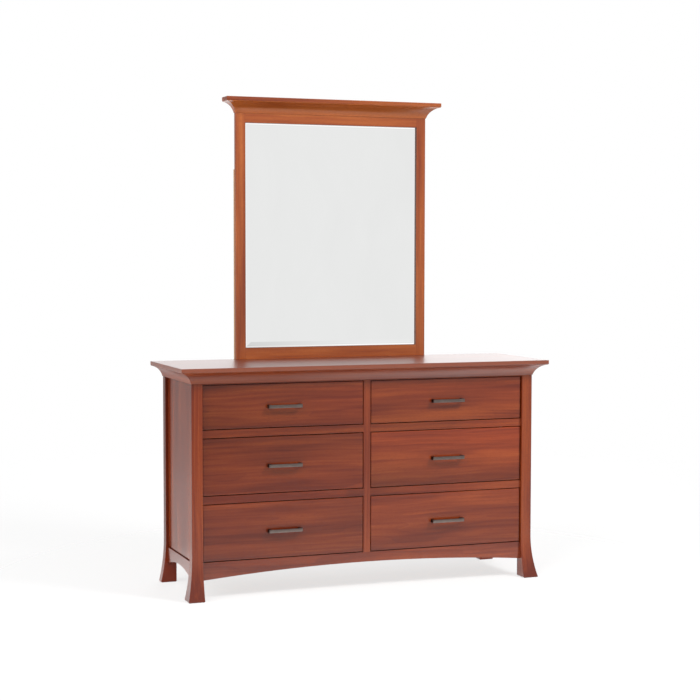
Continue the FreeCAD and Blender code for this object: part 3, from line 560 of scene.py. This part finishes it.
def shade_of(node, tree, place):
    """The shade of a board from place to place, or None where it is the same all over."""
    if node == "drawer_rails":
        axes = split(tree, place)
        lower = spread(tree, axes["X"], *LOWER_RAILS_RIGHT)
        lower = reckon(tree, "MAXIMUM", lower, spread(tree, axes["X"], *LOWER_RAILS_LEFT))
        in_upper = reckon(tree, "GREATER_THAN", axes["Z"], RAILS_MIDDLE)
        return mix_values(tree, in_upper, lower, spread(tree, axes["X"], *UPPER_RAILS))
    if node == "front_apron":
        return spread(tree, split(tree, place)["X"], *APRON)
    if node.startswith("leg_back"):
        return spread(tree, split(tree, place)["Z"], *BACK_LEGS_PAINTED_SHADE)
    # Painted shade darkens the mirror frame's inner edge.
    if node.startswith(("mirror_stile", "mirror_rail")):
        return spread(tree, past_opening(tree, place), *LIP_PAINTED_SHADE)
    return None


print("the mirror's frame opens from", round(opening_low, 4), "to", round(opening_high, 4), "m")

# %% [markdown]
# The legs darken towards the floor. The hollow of a cove is hard to rub down, so its lacquer shines
# more broadly, and on the front cove it shines more and more towards the right. The faces of the back
# legs that look forward are hard to reach, so they got little lacquer.

# %% Stain the boards
FOOT_TONE = -0.5
COVE_DULL, COVE_IOR = 0.4, 1.8
COVE_COAT = (-0.4, 0.4, 0.48, 0.95)
THIN_COAT, FACE_DEPTH = 0.4, 0.002

for number, (node, (grain, tone, heart)) in enumerate(BOARDS.items()):
    material, tree, shader, place = new_finish(f"stained_{node}")
    log_place = in_the_log(tree, place, grain, middle_of(node), number, heart)
    if node.startswith("leg"):
        darker = spread(tree, split(tree, place)["Z"], 0.0, FOOT_TOP, FOOT_TONE, 0.0)
        tone = reckon(tree, "ADD", darker, tone)
    tones = PALER if node.startswith("mirror") else RED_BROWN
    dull = COVE_DULL if "cove" in node else SATIN
    finish_board(tree, shader, place, log_place, tone, tones, shade_of(node, tree, place), dull)
    if node == "top_cove_front":
        feed(tree, shader["Coat IOR"], COVE_IOR)
        feed(tree, shader["Coat Weight"], spread(tree, split(tree, place)["X"], *COVE_COAT))
    elif node.startswith("leg_back"):
        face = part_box(node)[0].y
        coat = spread(tree, split(tree, place)["Y"], face, face + FACE_DEPTH, THIN_COAT, 1.0)
        feed(tree, shader["Coat Weight"], coat)
    dress(node, material)
print(len(BOARDS), "boards stained")

# %% [markdown]
# A drawer front is the widest single board of the piece, so it shows the figure best. Each one is cut
# tangent to the rings, with the heart of the log a hand's length behind it. Its shade drifts from one at
# its left end to another at its right, and from its foot to its head.

# %% Drawer fronts
FRONTS = {  # tone, the log's heart, shades at the left and right end, shades at the foot and the head
    "top_left": (0.00, (0.20, 0.04), (0.63, 1.08), (0.86, 1.14)),
    "top_right": (0.10, (0.16, -0.03), (0.88, 1.13), (0.85, 1.16)),
    "middle_left": (-0.05, (0.24, 0.05), (0.74, 0.90), (1.16, 0.86)),
    "middle_right": (0.10, (0.18, 0.02), (0.86, 1.20), (0.66, 1.47)),
    "bottom_left": (-0.05, (0.22, -0.04), (0.87, 0.81), (0.92, 1.08)),
    "bottom_right": (0.05, (0.15, 0.03), (0.94, 0.97), (0.87, 1.14)),
}

for number, (drawer, (tone, heart, along, upwards)) in enumerate(FRONTS.items(), start=40):
    node = f"drawer_{drawer}_front"
    material, tree, shader, place = new_finish(f"stained_{node}")
    log_place = in_the_log(tree, place, "x", middle_of(node), number, heart)
    low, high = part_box(node)
    axes = split(tree, place)
    shade = spread(tree, axes["X"], low.x, high.x, *along)
    shade = reckon(tree, "MULTIPLY", shade, spread(tree, axes["Z"], low.z, high.z, *upwards))
    finish_board(tree, shader, place, log_place, tone, shade=shade)
    dress(node, material)
print(len(FRONTS), "drawer fronts stained")

# %% [markdown]
# The top and the two side panels are wide, so they are glued up from staves. The top's face has
# darkened, and its edge is painted paler, a painted highlight along the edge. The top is dusted and wiped
# most, so its shine is broader: some of it comes, only here, from the layer below the coat.

# %% Wide panels
TOP_FACE, EDGE_HIGHLIGHT_SHARE, TOP_SHINE = (0.9125, 0.9135), 0.35, 0.5
PANELS = {  # way of the grain, tone, place of the log's heart, width of a stave, dullness
    "top_panel": ("x", -0.50, (0.10, 0.40), 0.099, 0.28),
    "side_panel_left": ("z", 0.00, (0.05, 0.40), 0.092, SATIN),
    "side_panel_right": ("z", 0.00, (0.05, 0.40), 0.092, SATIN),
}

for number, (node, (grain, tone, heart, stave, dull)) in enumerate(PANELS.items(), start=60):
    material, tree, shader, place = new_finish(f"stained_{node}")
    log_place = in_the_log(tree, place, grain, middle_of(node), number, heart)
    axes = split(tree, place)
    glued = use_group(tree, glued_staves, {"Place": log_place, "Across": axes["Y"], "Stave width": stave})
    tone = reckon(tree, "ADD", glued["Tone"], tone)
    finish_board(tree, shader, place, glued["Place"], tone, dull=dull)
    if node == "top_panel":
        stained = shader["Base Color"].links[0].from_socket
        # Painted highlight: the top's edge, below its face, is blended towards a paler colour.
        painted_edge_highlight = spread(tree, axes["Z"], *TOP_FACE, EDGE_HIGHLIGHT_SHARE, 0.0)
        feed(tree, shader["Base Color"], blend_colour(tree, painted_edge_highlight, stained, RUBBED))
        feed(tree, shader["Specular IOR Level"], TOP_SHINE)
    dress(node, material)
print(len(PANELS), "wide panels stained")

# %% [markdown]
# The moulding under the mirror's crown turns the corners in mitres, and its grain turns with it. The
# mitre is the diagonal through the corner of the mirror's frame: beyond it the grain runs front to back.
# It is painted lighter than any other board, a painted light where the crown board shades it.

# %% Mitred crown moulding
CROWN_TONE, CROWN_HEART = 0.5, (0.28, 0.06)
# Painted light: the crown moulding's stain is lightened against the shade under the crown board.
CROWN_PAINTED_LIGHT = (1.18, 1.18, 1.18)

material, tree, shader, place = new_finish("stained_mirror_crown_cove")
axes = split(tree, place)
from_middle = reckon(tree, "ABSOLUTE", axes["X"])
past_corner = reckon(tree, "ADD", reckon(tree, "ADD", from_middle, axes["Y"]), stile_low.x - stile_low.y)
on_the_side = reckon(tree, "GREATER_THAN", past_corner, 0.0)
middle = middle_of("mirror_crown_cove")
along_front = in_the_log(tree, place, "x", middle, 70, CROWN_HEART)
along_side = in_the_log(tree, place, "y", middle, 71, CROWN_HEART)
log_place = mix_vectors(tree, on_the_side, along_front, along_side)
finish_board(tree, shader, place, log_place, CROWN_TONE, PALER, CROWN_PAINTED_LIGHT)
dress("mirror_crown_cove", material)
print("crown moulding mitred at", round(-stile_low.x, 4), "m from the middle")

# %% [markdown]
# ## Unstained wood inside
#
# The drawer boxes, the partition and the battens behind the mirror are pale brown wood with a thin
# clear finish: nobody stains what nobody sees. They use the same figure with quieter, paler tones.

# %% Inner wood
INNER = {
    "Dark": (0.330, 0.160, 0.070, 1),
    "Middle": (0.470, 0.255, 0.118, 1),
    "Light": (0.570, 0.350, 0.175, 1),
}
INSIDE = {"waviness": 0.02, "ease": 0.001, "rub": 0.3, "roughness": (0.50, 0.62), "bump": 0.3}
INNER_HEART = (0.06, 0.25)


def finish_inner(tree, shader, place, log_place, tones, rings=0.006):
    """Unstained wood under a thin, dull finish."""
    lay_wood(tree, shader, place, log_place, 0.0, tones, tones["Light"], INSIDE, rings)
    feed(tree, shader["Specular IOR Level"], 0.4)


inner_boards = ("centre_partition", "mirror_supports")
for number, node in enumerate(inner_boards, start=80):
    material, tree, shader, place = new_finish(f"inner_{node}")
    log_place = in_the_log(tree, place, "z", middle_of(node), number, INNER_HEART)
    finish_inner(tree, shader, place, log_place, INNER)
    dress(node, material)
print(len(inner_boards), "inner boards")

# %% [markdown]
# A drawer box is one CAD node with two sides and a back. The grain of the sides runs front to back and
# that of the back runs across, so the recipe switches at the inner face of the sides.

# %% Drawer boxes
DRAWERS = [f"drawer_{row}_{column}" for row in ("bottom", "middle", "top") for column in ("left", "right")]
BOX_WALL = 0.01326  # with a hair to spare
BOX_HEART = (0.2, 0.04)

for number, drawer in enumerate(DRAWERS, start=90):
    node = f"{drawer}_box"
    material, tree, shader, place = new_finish(f"inner_{node}")
    low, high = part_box(node)
    middle = (low + high) / 2
    from_middle = reckon(tree, "ABSOLUTE", reckon(tree, "SUBTRACT", split(tree, place)["X"], middle.x))
    in_a_side = reckon(tree, "GREATER_THAN", from_middle, (high.x - low.x) / 2 - BOX_WALL)
    back = in_the_log(tree, place, "x", middle, number, BOX_HEART)
    sides = in_the_log(tree, place, "y", middle, number + 0.5, BOX_HEART)
    finish_inner(tree, shader, place, mix_vectors(tree, in_a_side, back, sides), INNER)
    dress(node, material)
print(len(DRAWERS), "drawer boxes")

# %% [markdown]
# Drawer bottoms, the back of the case and the mirror's backing are thin plywood, veneered in a plain
# brown wood: broad, calm figure and hardly any shine.

# %% Plywood
PLYWOOD = {
    "Dark": (0.255, 0.108, 0.043, 1),
    "Middle": (0.365, 0.168, 0.070, 1),
    "Light": (0.455, 0.235, 0.108, 1),
}
SHEET_HEART, SHEET_RINGS = (0.3, 0.12), 0.014

sheets = ["back_panel", "bottom_panel", "mirror_backing"] + [f"{drawer}_bottom" for drawer in DRAWERS]
for number, node in enumerate(sheets, start=120):
    material, tree, shader, place = new_finish(f"plywood_{node}")
    grain = "z" if node == "mirror_backing" else "x"
    log_place = in_the_log(tree, place, grain, middle_of(node), number, SHEET_HEART)
    finish_inner(tree, shader, place, log_place, PLYWOOD, rings=SHEET_RINGS)
    dress(node, material)
print(len(sheets), "plywood sheets")

# %% [markdown]
# ## Metal and mirror
#
# All the metal is brushed and a little worn: its strokes run one way, and edges and some patches are
# rubbed to a second colour. One recipe serves the pulls, the slides and the screws.

# %% Brushed metal
brushed_metal, takes, gives = new_group(
    "brushed_metal",
    {
        "Place": "vector",
        "Base": "colour",
        "Worn": "colour",
        "Edge": "number",
        "Dull": "number",
        "Stroke": "vector",
    },
    {"Colour": "colour", "Roughness": "number", "Height": "number"},
)
tree = brushed_metal
strokes = add_node(tree, "TexNoise", {"Scale": 1.0, "Detail": 3.0})
feed(tree, strokes.inputs["Vector"], reckon_vector(tree, "MULTIPLY", takes["Place"], takes["Stroke"]))
cloud = add_node(tree, "TexNoise", {"Vector": takes["Place"], "Scale": 45.0, "Detail": 3.0}).outputs[0]
rubbed = reckon(tree, "MULTIPLY_ADD", spread(tree, cloud, 0.45, 0.75), 0.25, takes["Edge"], clamp=True)
feed(tree, gives["Colour"], blend_colour(tree, rubbed, takes["Base"], takes["Worn"]))
grain_dull = spread(tree, strokes.outputs[0], 0.3, 0.7, -0.07, 0.07)
feed(tree, gives["Roughness"], reckon(tree, "ADD", takes["Dull"], grain_dull))
feed(tree, gives["Height"], strokes.outputs[0])
print("brushed metal:", len(tree.nodes), "nodes")

# %% [markdown]
# The pulls are brown-black in the hollows and lighter along the edges. Behind the strap they are painted
# almost black, a painted shade on its feet and back. Slides and screws are plain plated steel.

# %% Pulls, slides and screws
METALS = {  # colour, colour where it is worn, dullness, brush strokes per metre
    "pull_bronze": ((0.135, 0.108, 0.098, 1), (0.26, 0.22, 0.19, 1), 0.42, (30.0, 900.0, 900.0)),
    "slide_steel": ((0.52, 0.53, 0.54, 1), (0.70, 0.70, 0.70, 1), 0.34, (700.0, 30.0, 700.0)),
    "screw_steel": ((0.50, 0.49, 0.46, 1), (0.75, 0.74, 0.70, 1), 0.30, (500.0, 500.0, 500.0)),
}
METAL_EASE, METAL_PATCHES = 0.0008, 150.0
BEHIND_STRAP_PAINTED_SHADE = (0.022, 0.017, 0.015, 1)
STRAP_TO_FACE, FADE = 0.0185, 0.002


def metal_finish(name):
    """One of the metals from the shared recipe."""
    base, worn, dull, stroke = METALS[name]
    material, tree, shader, place = new_finish(name)
    easing = {"Radius": METAL_EASE, "Place": place, "Patchiness": METAL_PATCHES}
    edge = use_group(tree, eased_edge, easing)
    look = {"Place": place, "Base": base, "Worn": worn, "Dull": dull, "Stroke": stroke}
    metal = use_group(tree, brushed_metal, {**look, "Edge": edge["Edge"]})
    feed(tree, shader["Base Color"], metal["Colour"])
    feed(tree, shader["Roughness"], metal["Roughness"])
    bump = {"Height": metal["Height"], "Normal": edge["Normal"], "Strength": 0.15, "Distance": 0.0001}
    feed(tree, shader["Normal"], add_node(tree, "Bump", bump).outputs[0])
    feed(tree, shader["Metallic"], 1.0)
    return material, tree, shader["Base Color"], place


pull_bronze, tree, base_colour, place = metal_finish("pull_bronze")
behind_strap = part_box("drawer_top_left_front")[0].y - STRAP_TO_FACE
# Painted shade: the bronze behind the strap turns almost black.
painted_shade = spread(tree, split(tree, place)["Y"], behind_strap, behind_strap + FADE)
feed(tree, base_colour, blend_colour(tree, painted_shade, base_colour.links[0].from_socket, BEHIND_STRAP_PAINTED_SHADE))
slide_steel = metal_finish("slide_steel")[0]
screw_steel = metal_finish("screw_steel")[0]
slide_nodes = [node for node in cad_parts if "slides" in node]
for node in slide_nodes:
    dress(node, slide_steel)
print("steel on", len(slide_nodes), "slide nodes")

# %% [markdown]
# A mirror is silver behind glass. As a solid plate it can be a metal without any roughness, a little
# below full brightness, because the light passes the glass twice. Faint wipe marks keep it from
# looking like a hole. Where the bevel runs out under the frame, a bright line goes round the glass:
# a painted highlight.

# %% Mirror
SILVER = ((0.800, 0.805, 0.800, 1), (0.815, 0.820, 0.815, 1))
BRIGHT_LINE, PAINTED_HIGHLIGHT_COLOUR = (-0.0065, -0.0045), (0.98, 0.97, 0.96, 1)
WIPES = (6.0, 6.0, 2.5)

mirror_silver, tree, shader, place = new_finish("mirror_silver")
wipes = stretched_noise(tree, place, WIPES, detail=4.0, distortion=1.0)
silver = blend_colour(tree, spread(tree, wipes, 0.3, 0.7), *SILVER)
# Painted highlight round the glass, where the bevel runs out under the frame.
painted_highlight = spread(tree, past_opening(tree, place), *BRIGHT_LINE)
feed(tree, shader["Base Color"], blend_colour(tree, painted_highlight, silver, PAINTED_HIGHLIGHT_COLOUR))
feed(tree, shader["Metallic"], 1.0)
feed(tree, shader["Roughness"], spread(tree, wipes, 0.4, 0.8, 0.0, 0.03))
dress("mirror_glass", mirror_silver)
print("mirror silvered")

# %% [markdown]
# ## Making a piece
#
# The small metal pieces are shaped with bmesh operators. When a shape is done, its doubles are merged,
# its faces are turned outwards, edges sharper than thirty degrees stay crisp, and it becomes an object
# that rides on its CAD body.

# %% Piece helper
CRISP = math.radians(30)
SAME = 0.00001


def make_piece(shape, name, material, body, stands_for=()):
    """Turn a finished bmesh into a piece of the dresser."""
    bmesh.ops.remove_doubles(shape, verts=shape.verts, dist=SAME)
    bmesh.ops.recalc_face_normals(shape, faces=shape.faces)
    for face in shape.faces:
        face.smooth = True
    for edge in shape.edges:
        edge.smooth = len(edge.link_faces) == 2 and edge.calc_face_angle() < CRISP
    mesh = bpy.data.meshes.new(name)
    shape.to_mesh(mesh)
    shape.free()
    mesh.materials.append(material)
    piece = bpy.data.objects.new(name, mesh)
    bpy.context.scene.collection.objects.link(piece)
    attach(piece, body)
    if stands_for:
        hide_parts(*stands_for)


print("piece helper ready")

# %% [markdown]
# ## The pulls
#
# Each drawer has one pull: a flat strap about a hand wide, bent back at both ends, with rounded
# corners and a front that bows out by a hair. It starts as a cube drawn out to the strap. Cuts across
# it mark off two feet, which are drawn back to the drawer front, and then its edges are rounded.

# %% Strap of a pull
STRAP, FOOT = 0.006, 0.012
BOW, BOW_CUTS = 0.0015, 8


def strap_shape(low, high):
    """A bowed strap with two feet that end on the drawer's face at high.y."""
    middle = (low + high) / 2
    half = (high.x - low.x) / 2
    shape = bmesh.new()
    bmesh.ops.create_cube(shape, size=1.0)
    bmesh.ops.scale(shape, vec=(half * 2, STRAP, high.z - low.z), verts=shape.verts)
    bmesh.ops.translate(shape, vec=(middle.x, low.y + STRAP / 2, middle.z), verts=shape.verts)
    cuts = [half - FOOT, FOOT - half]
    cuts += [(half - FOOT) * (2 * step / BOW_CUTS - 1) for step in range(1, BOW_CUTS)]
    for cut in cuts:
        everything = shape.verts[:] + shape.edges[:] + shape.faces[:]
        plane = {"plane_co": (middle.x + cut, 0, 0), "plane_no": (1, 0, 0)}
        bmesh.ops.bisect_plane(shape, geom=everything, dist=SAME, **plane)
    backs = [face for face in shape.faces if face.normal.y > 0.9]
    feet = [face for face in backs if abs(face.calc_center_median().x - middle.x) > half - FOOT]
    for foot in bmesh.ops.extrude_discrete_faces(shape, faces=feet)["faces"]:
        bmesh.ops.translate(shape, vec=(0, high.y - low.y - STRAP, 0), verts=foot.verts)
    for vert in shape.verts:
        if vert.co.y < low.y + STRAP * 1.1:
            vert.co.y += BOW * ((vert.co.x - middle.x) / half) ** 2
    return shape


print("strap", STRAP * 1000, "mm thick, bowed by", BOW * 1000, "mm")

# %% [markdown]
# Rounding goes in two turns: the two outer corners get the wide bend of a strap, and then every edge
# that is still sharp, apart from those that lie on the drawer, is eased.

# %% Round the strap
BEND_RADIUS, EASE = 0.003, 0.0008
ON_A_LINE = 0.0001


def round_strap(shape, low, high):
    """The wide bends at the ends, then a small ease along every other edge."""
    def at_an_end(edge):
        upright = abs(edge.verts[0].co.z - edge.verts[1].co.z) > 0.5 * (high.z - low.z)
        spot = (edge.verts[0].co + edge.verts[1].co) / 2
        outside = min(spot.x - low.x, high.x - spot.x) < ON_A_LINE
        return upright and outside and spot.y < low.y + STRAP / 2

    settings = {"offset_type": "OFFSET", "profile": 0.5, "affect": "EDGES", "material": -1}
    settings["clamp_overlap"] = True
    bends = [edge for edge in shape.edges if at_an_end(edge)]
    bmesh.ops.bevel(shape, geom=bends, offset=BEND_RADIUS, segments=5, **settings)
    sharp = [edge for edge in shape.edges if edge.calc_face_angle(0) > math.radians(40)]
    sharp = [edge for edge in sharp if max(vert.co.y for vert in edge.verts) < high.y - ON_A_LINE]
    bmesh.ops.bevel(shape, geom=sharp, offset=EASE, segments=2, **settings)


for drawer in DRAWERS:
    low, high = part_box(f"{drawer}_pull")
    high.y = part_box(f"{drawer}_front")[0].y
    shape = strap_shape(low, high)
    round_strap(shape, low, high)
    faces = len(shape.faces)
    make_piece(shape, f"{drawer}_strap", pull_bronze, drawer, [f"{drawer}_pull"])
print("six straps of", faces, "faces")

# %% [markdown]
# ## Screws
#
# Open a drawer and two screws show behind its front; the back of the dresser has thirteen more. All
# have a domed head with a cross for the driver. The head is a square grid pressed into a disc, so that
# the cross can be a patch of its squares, pushed in. Each kind of screw is given by the radius and height
# of its head, then the radius and length of its shank.

# %% Cross-headed screw
HEAD_GRID = 9
CROSS_REACH, CROSS_DEPTH = 0.6, 0.5
DOME = 0.55
PULL_SCREW = (0.004, 0.0024, 0.0019, 0.029)
BATTEN_SCREW = (0.005, 0.003, 0.0025, 0.026)
BACK_SCREW = (0.0038, 0.0022, 0.0018, 0.016)


def screw_shape(shape, place, radius, height, shank_radius, shank_length):
    """Add a screw, its head towards Z and its underside at the origin, and move it to its place."""
    made = bmesh.ops.create_grid(shape, x_segments=HEAD_GRID, y_segments=HEAD_GRID, size=1.0)["verts"]
    top = dict.fromkeys(face for vert in made for face in vert.link_faces)
    half_arm = 0.75 / HEAD_GRID
    cross = []
    for face in top:
        centre = face.calc_center_median()
        near, far = sorted((abs(centre.x), abs(centre.y)))
        if near < half_arm and far < CROSS_REACH:
            cross.append(face)
    for vert in made:
        x, y = vert.co.x, vert.co.y
        vert.co.x = x * math.sqrt(1 - y * y / 2) * radius
        vert.co.y = y * math.sqrt(1 - x * x / 2) * radius
        vert.co.z = height * (1 - DOME * (vert.co.x**2 + vert.co.y**2) / radius**2)
    pushed = bmesh.ops.extrude_face_region(shape, geom=cross)["geom"]
    sunk = [item for item in pushed if isinstance(item, bmesh.types.BMVert)]
    bmesh.ops.delete(shape, geom=cross, context="FACES_ONLY")
    bmesh.ops.translate(shape, vec=(0, 0, -CROSS_DEPTH * height), verts=sunk)
    rim = (edge for vert in made if vert.is_valid for edge in vert.link_edges if edge.is_boundary)
    rings = list(dict.fromkeys(rim))
    everything = made + sunk
    for ring_radius, z in ((radius, 0.0), (shank_radius, 0.0), (shank_radius, -shank_length)):
        grown = bmesh.ops.extrude_edge_only(shape, edges=rings)["geom"]
        ring = [item for item in grown if isinstance(item, bmesh.types.BMVert)]
        rings = [item for item in grown if isinstance(item, bmesh.types.BMEdge)]
        for vert in ring:
            outward = Vector((vert.co.x, vert.co.y, 0)).normalized()
            vert.co = outward * ring_radius + Vector((0, 0, z))
        everything += ring
    bmesh.ops.contextual_create(shape, geom=rings)
    bmesh.ops.transform(shape, matrix=place, verts=[vert for vert in everything if vert.is_valid])


def facing_back(spot, turn):
    """The transform that turns a screw's head to the back of the dresser, at a spot."""
    return Matrix.Translation(spot) @ Matrix.Rotation(-math.pi / 2, 4, "X") @ Matrix.Rotation(turn, 4, "Z")


print("a screw's head has", HEAD_GRID**2, "squares")

# %% [markdown]
# The pull's screws pass through the drawer front into the feet of the strap. Each is turned to a
# different angle, as a driver leaves it.

# %% Pull screws
PULL_CENTRES = 0.128

for drawer in DRAWERS:
    low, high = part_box(f"{drawer}_pull")
    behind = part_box(f"{drawer}_box")[0].y
    shape = bmesh.new()
    for hand in (-1, 1):
        x = (low.x + high.x) / 2 + hand * PULL_CENTRES / 2
        place = facing_back((x, behind, (low.z + high.z) / 2), turn=x * 7)
        screw_shape(shape, place, *PULL_SCREW)
    make_piece(shape, f"{drawer}_pull_screws", screw_steel, drawer)
print("twelve pull screws,", PULL_CENTRES * 1000, "mm apart")

# %% [markdown]
# The battens are screwed to the mirror's stiles above and to the case below, with their heads let in
# flush. The CAD model has plain heads there, and these screws take their place.

# %% Batten screws
BATTEN_SHARES, FROM_THE_END = (0.06, 0.45), 0.02

low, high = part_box("mirror_supports")
heights = [high.z - (high.z - low.z) * share for share in BATTEN_SHARES]
heights += [low.z + FROM_THE_END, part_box("top_panel")[0].z - FROM_THE_END]
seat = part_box("mirror_support_screws")[1].y - BATTEN_SCREW[1]
stile_middle = (stile_low.x + stile_high.x) / 2
shape = bmesh.new()
for hand in (-1, 1):
    for number, height in enumerate(heights):
        place = facing_back((stile_middle * hand, seat, height), turn=number * 1.3 + hand)
        screw_shape(shape, place, *BATTEN_SCREW)
make_piece(shape, "batten_screws", screw_steel, "case", ["mirror_support_screws"])
print(len(heights) * 2, "batten screws")

# %% [markdown]
# The thin back would drum without a row of small screws that hold it to the partition in the middle of
# the case. They are spaced evenly between the two back rails.

# %% Back screws
BACK_SCREWS = 5

low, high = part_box("back_panel")
shape = bmesh.new()
for number in range(BACK_SCREWS):
    height = low.z + (high.z - low.z) * (number + 0.6) / (BACK_SCREWS + 0.9)
    screw_shape(shape, facing_back((0, high.y, height), turn=number * 0.9), *BACK_SCREW)
make_piece(shape, "back_screws", screw_steel, "case")
print(BACK_SCREWS, "back screws")

# %% [markdown]
# The mirror's backing is held in its rabbet by framer's points: small flat diamonds of steel, pressed
# sideways into the frame until half of each is gone. A diamond is a circle of four corners, pulled long
# and given a thickness. Rows of them run along all four sides.

# %% Framer's points
POINT_LONG, POINT_WIDE, POINT_THICK = 0.016, 0.009, 0.0008
POINTS_UP, POINTS_ACROSS = 4, 3

low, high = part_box("mirror_backing")
spots = []
for number in range(POINTS_UP):
    height = low.z + (high.z - low.z) * (number + 0.5) / POINTS_UP
    spots += [(low.x, height, 0.0), (high.x, height, 0.0)]
for number in range(POINTS_ACROSS):
    across = low.x + (high.x - low.x) * (number + 0.5) / POINTS_ACROSS
    spots += [(across, low.z, math.pi / 2), (across, high.z, math.pi / 2)]
shape = bmesh.new()
for x, z, turn in spots:
    made = bmesh.ops.create_circle(shape, segments=4, radius=0.5, cap_ends=True)["verts"]
    bmesh.ops.scale(shape, vec=(POINT_LONG, POINT_WIDE, 1.0), verts=made)
    swing = Matrix.Rotation(turn, 4, "Y") @ Matrix.Rotation(-math.pi / 2, 4, "X")
    bmesh.ops.transform(shape, matrix=Matrix.Translation((x, high.y, z)) @ swing, verts=made)
    face = made[0].link_faces[0]
    grown = bmesh.ops.extrude_face_region(shape, geom=[face])["geom"]
    lifted = [item for item in grown if isinstance(item, bmesh.types.BMVert)]
    bmesh.ops.translate(shape, vec=(0, POINT_THICK, 0), verts=lifted)
make_piece(shape, "framers_points", screw_steel, "case")
print(len(spots), "framer's points")
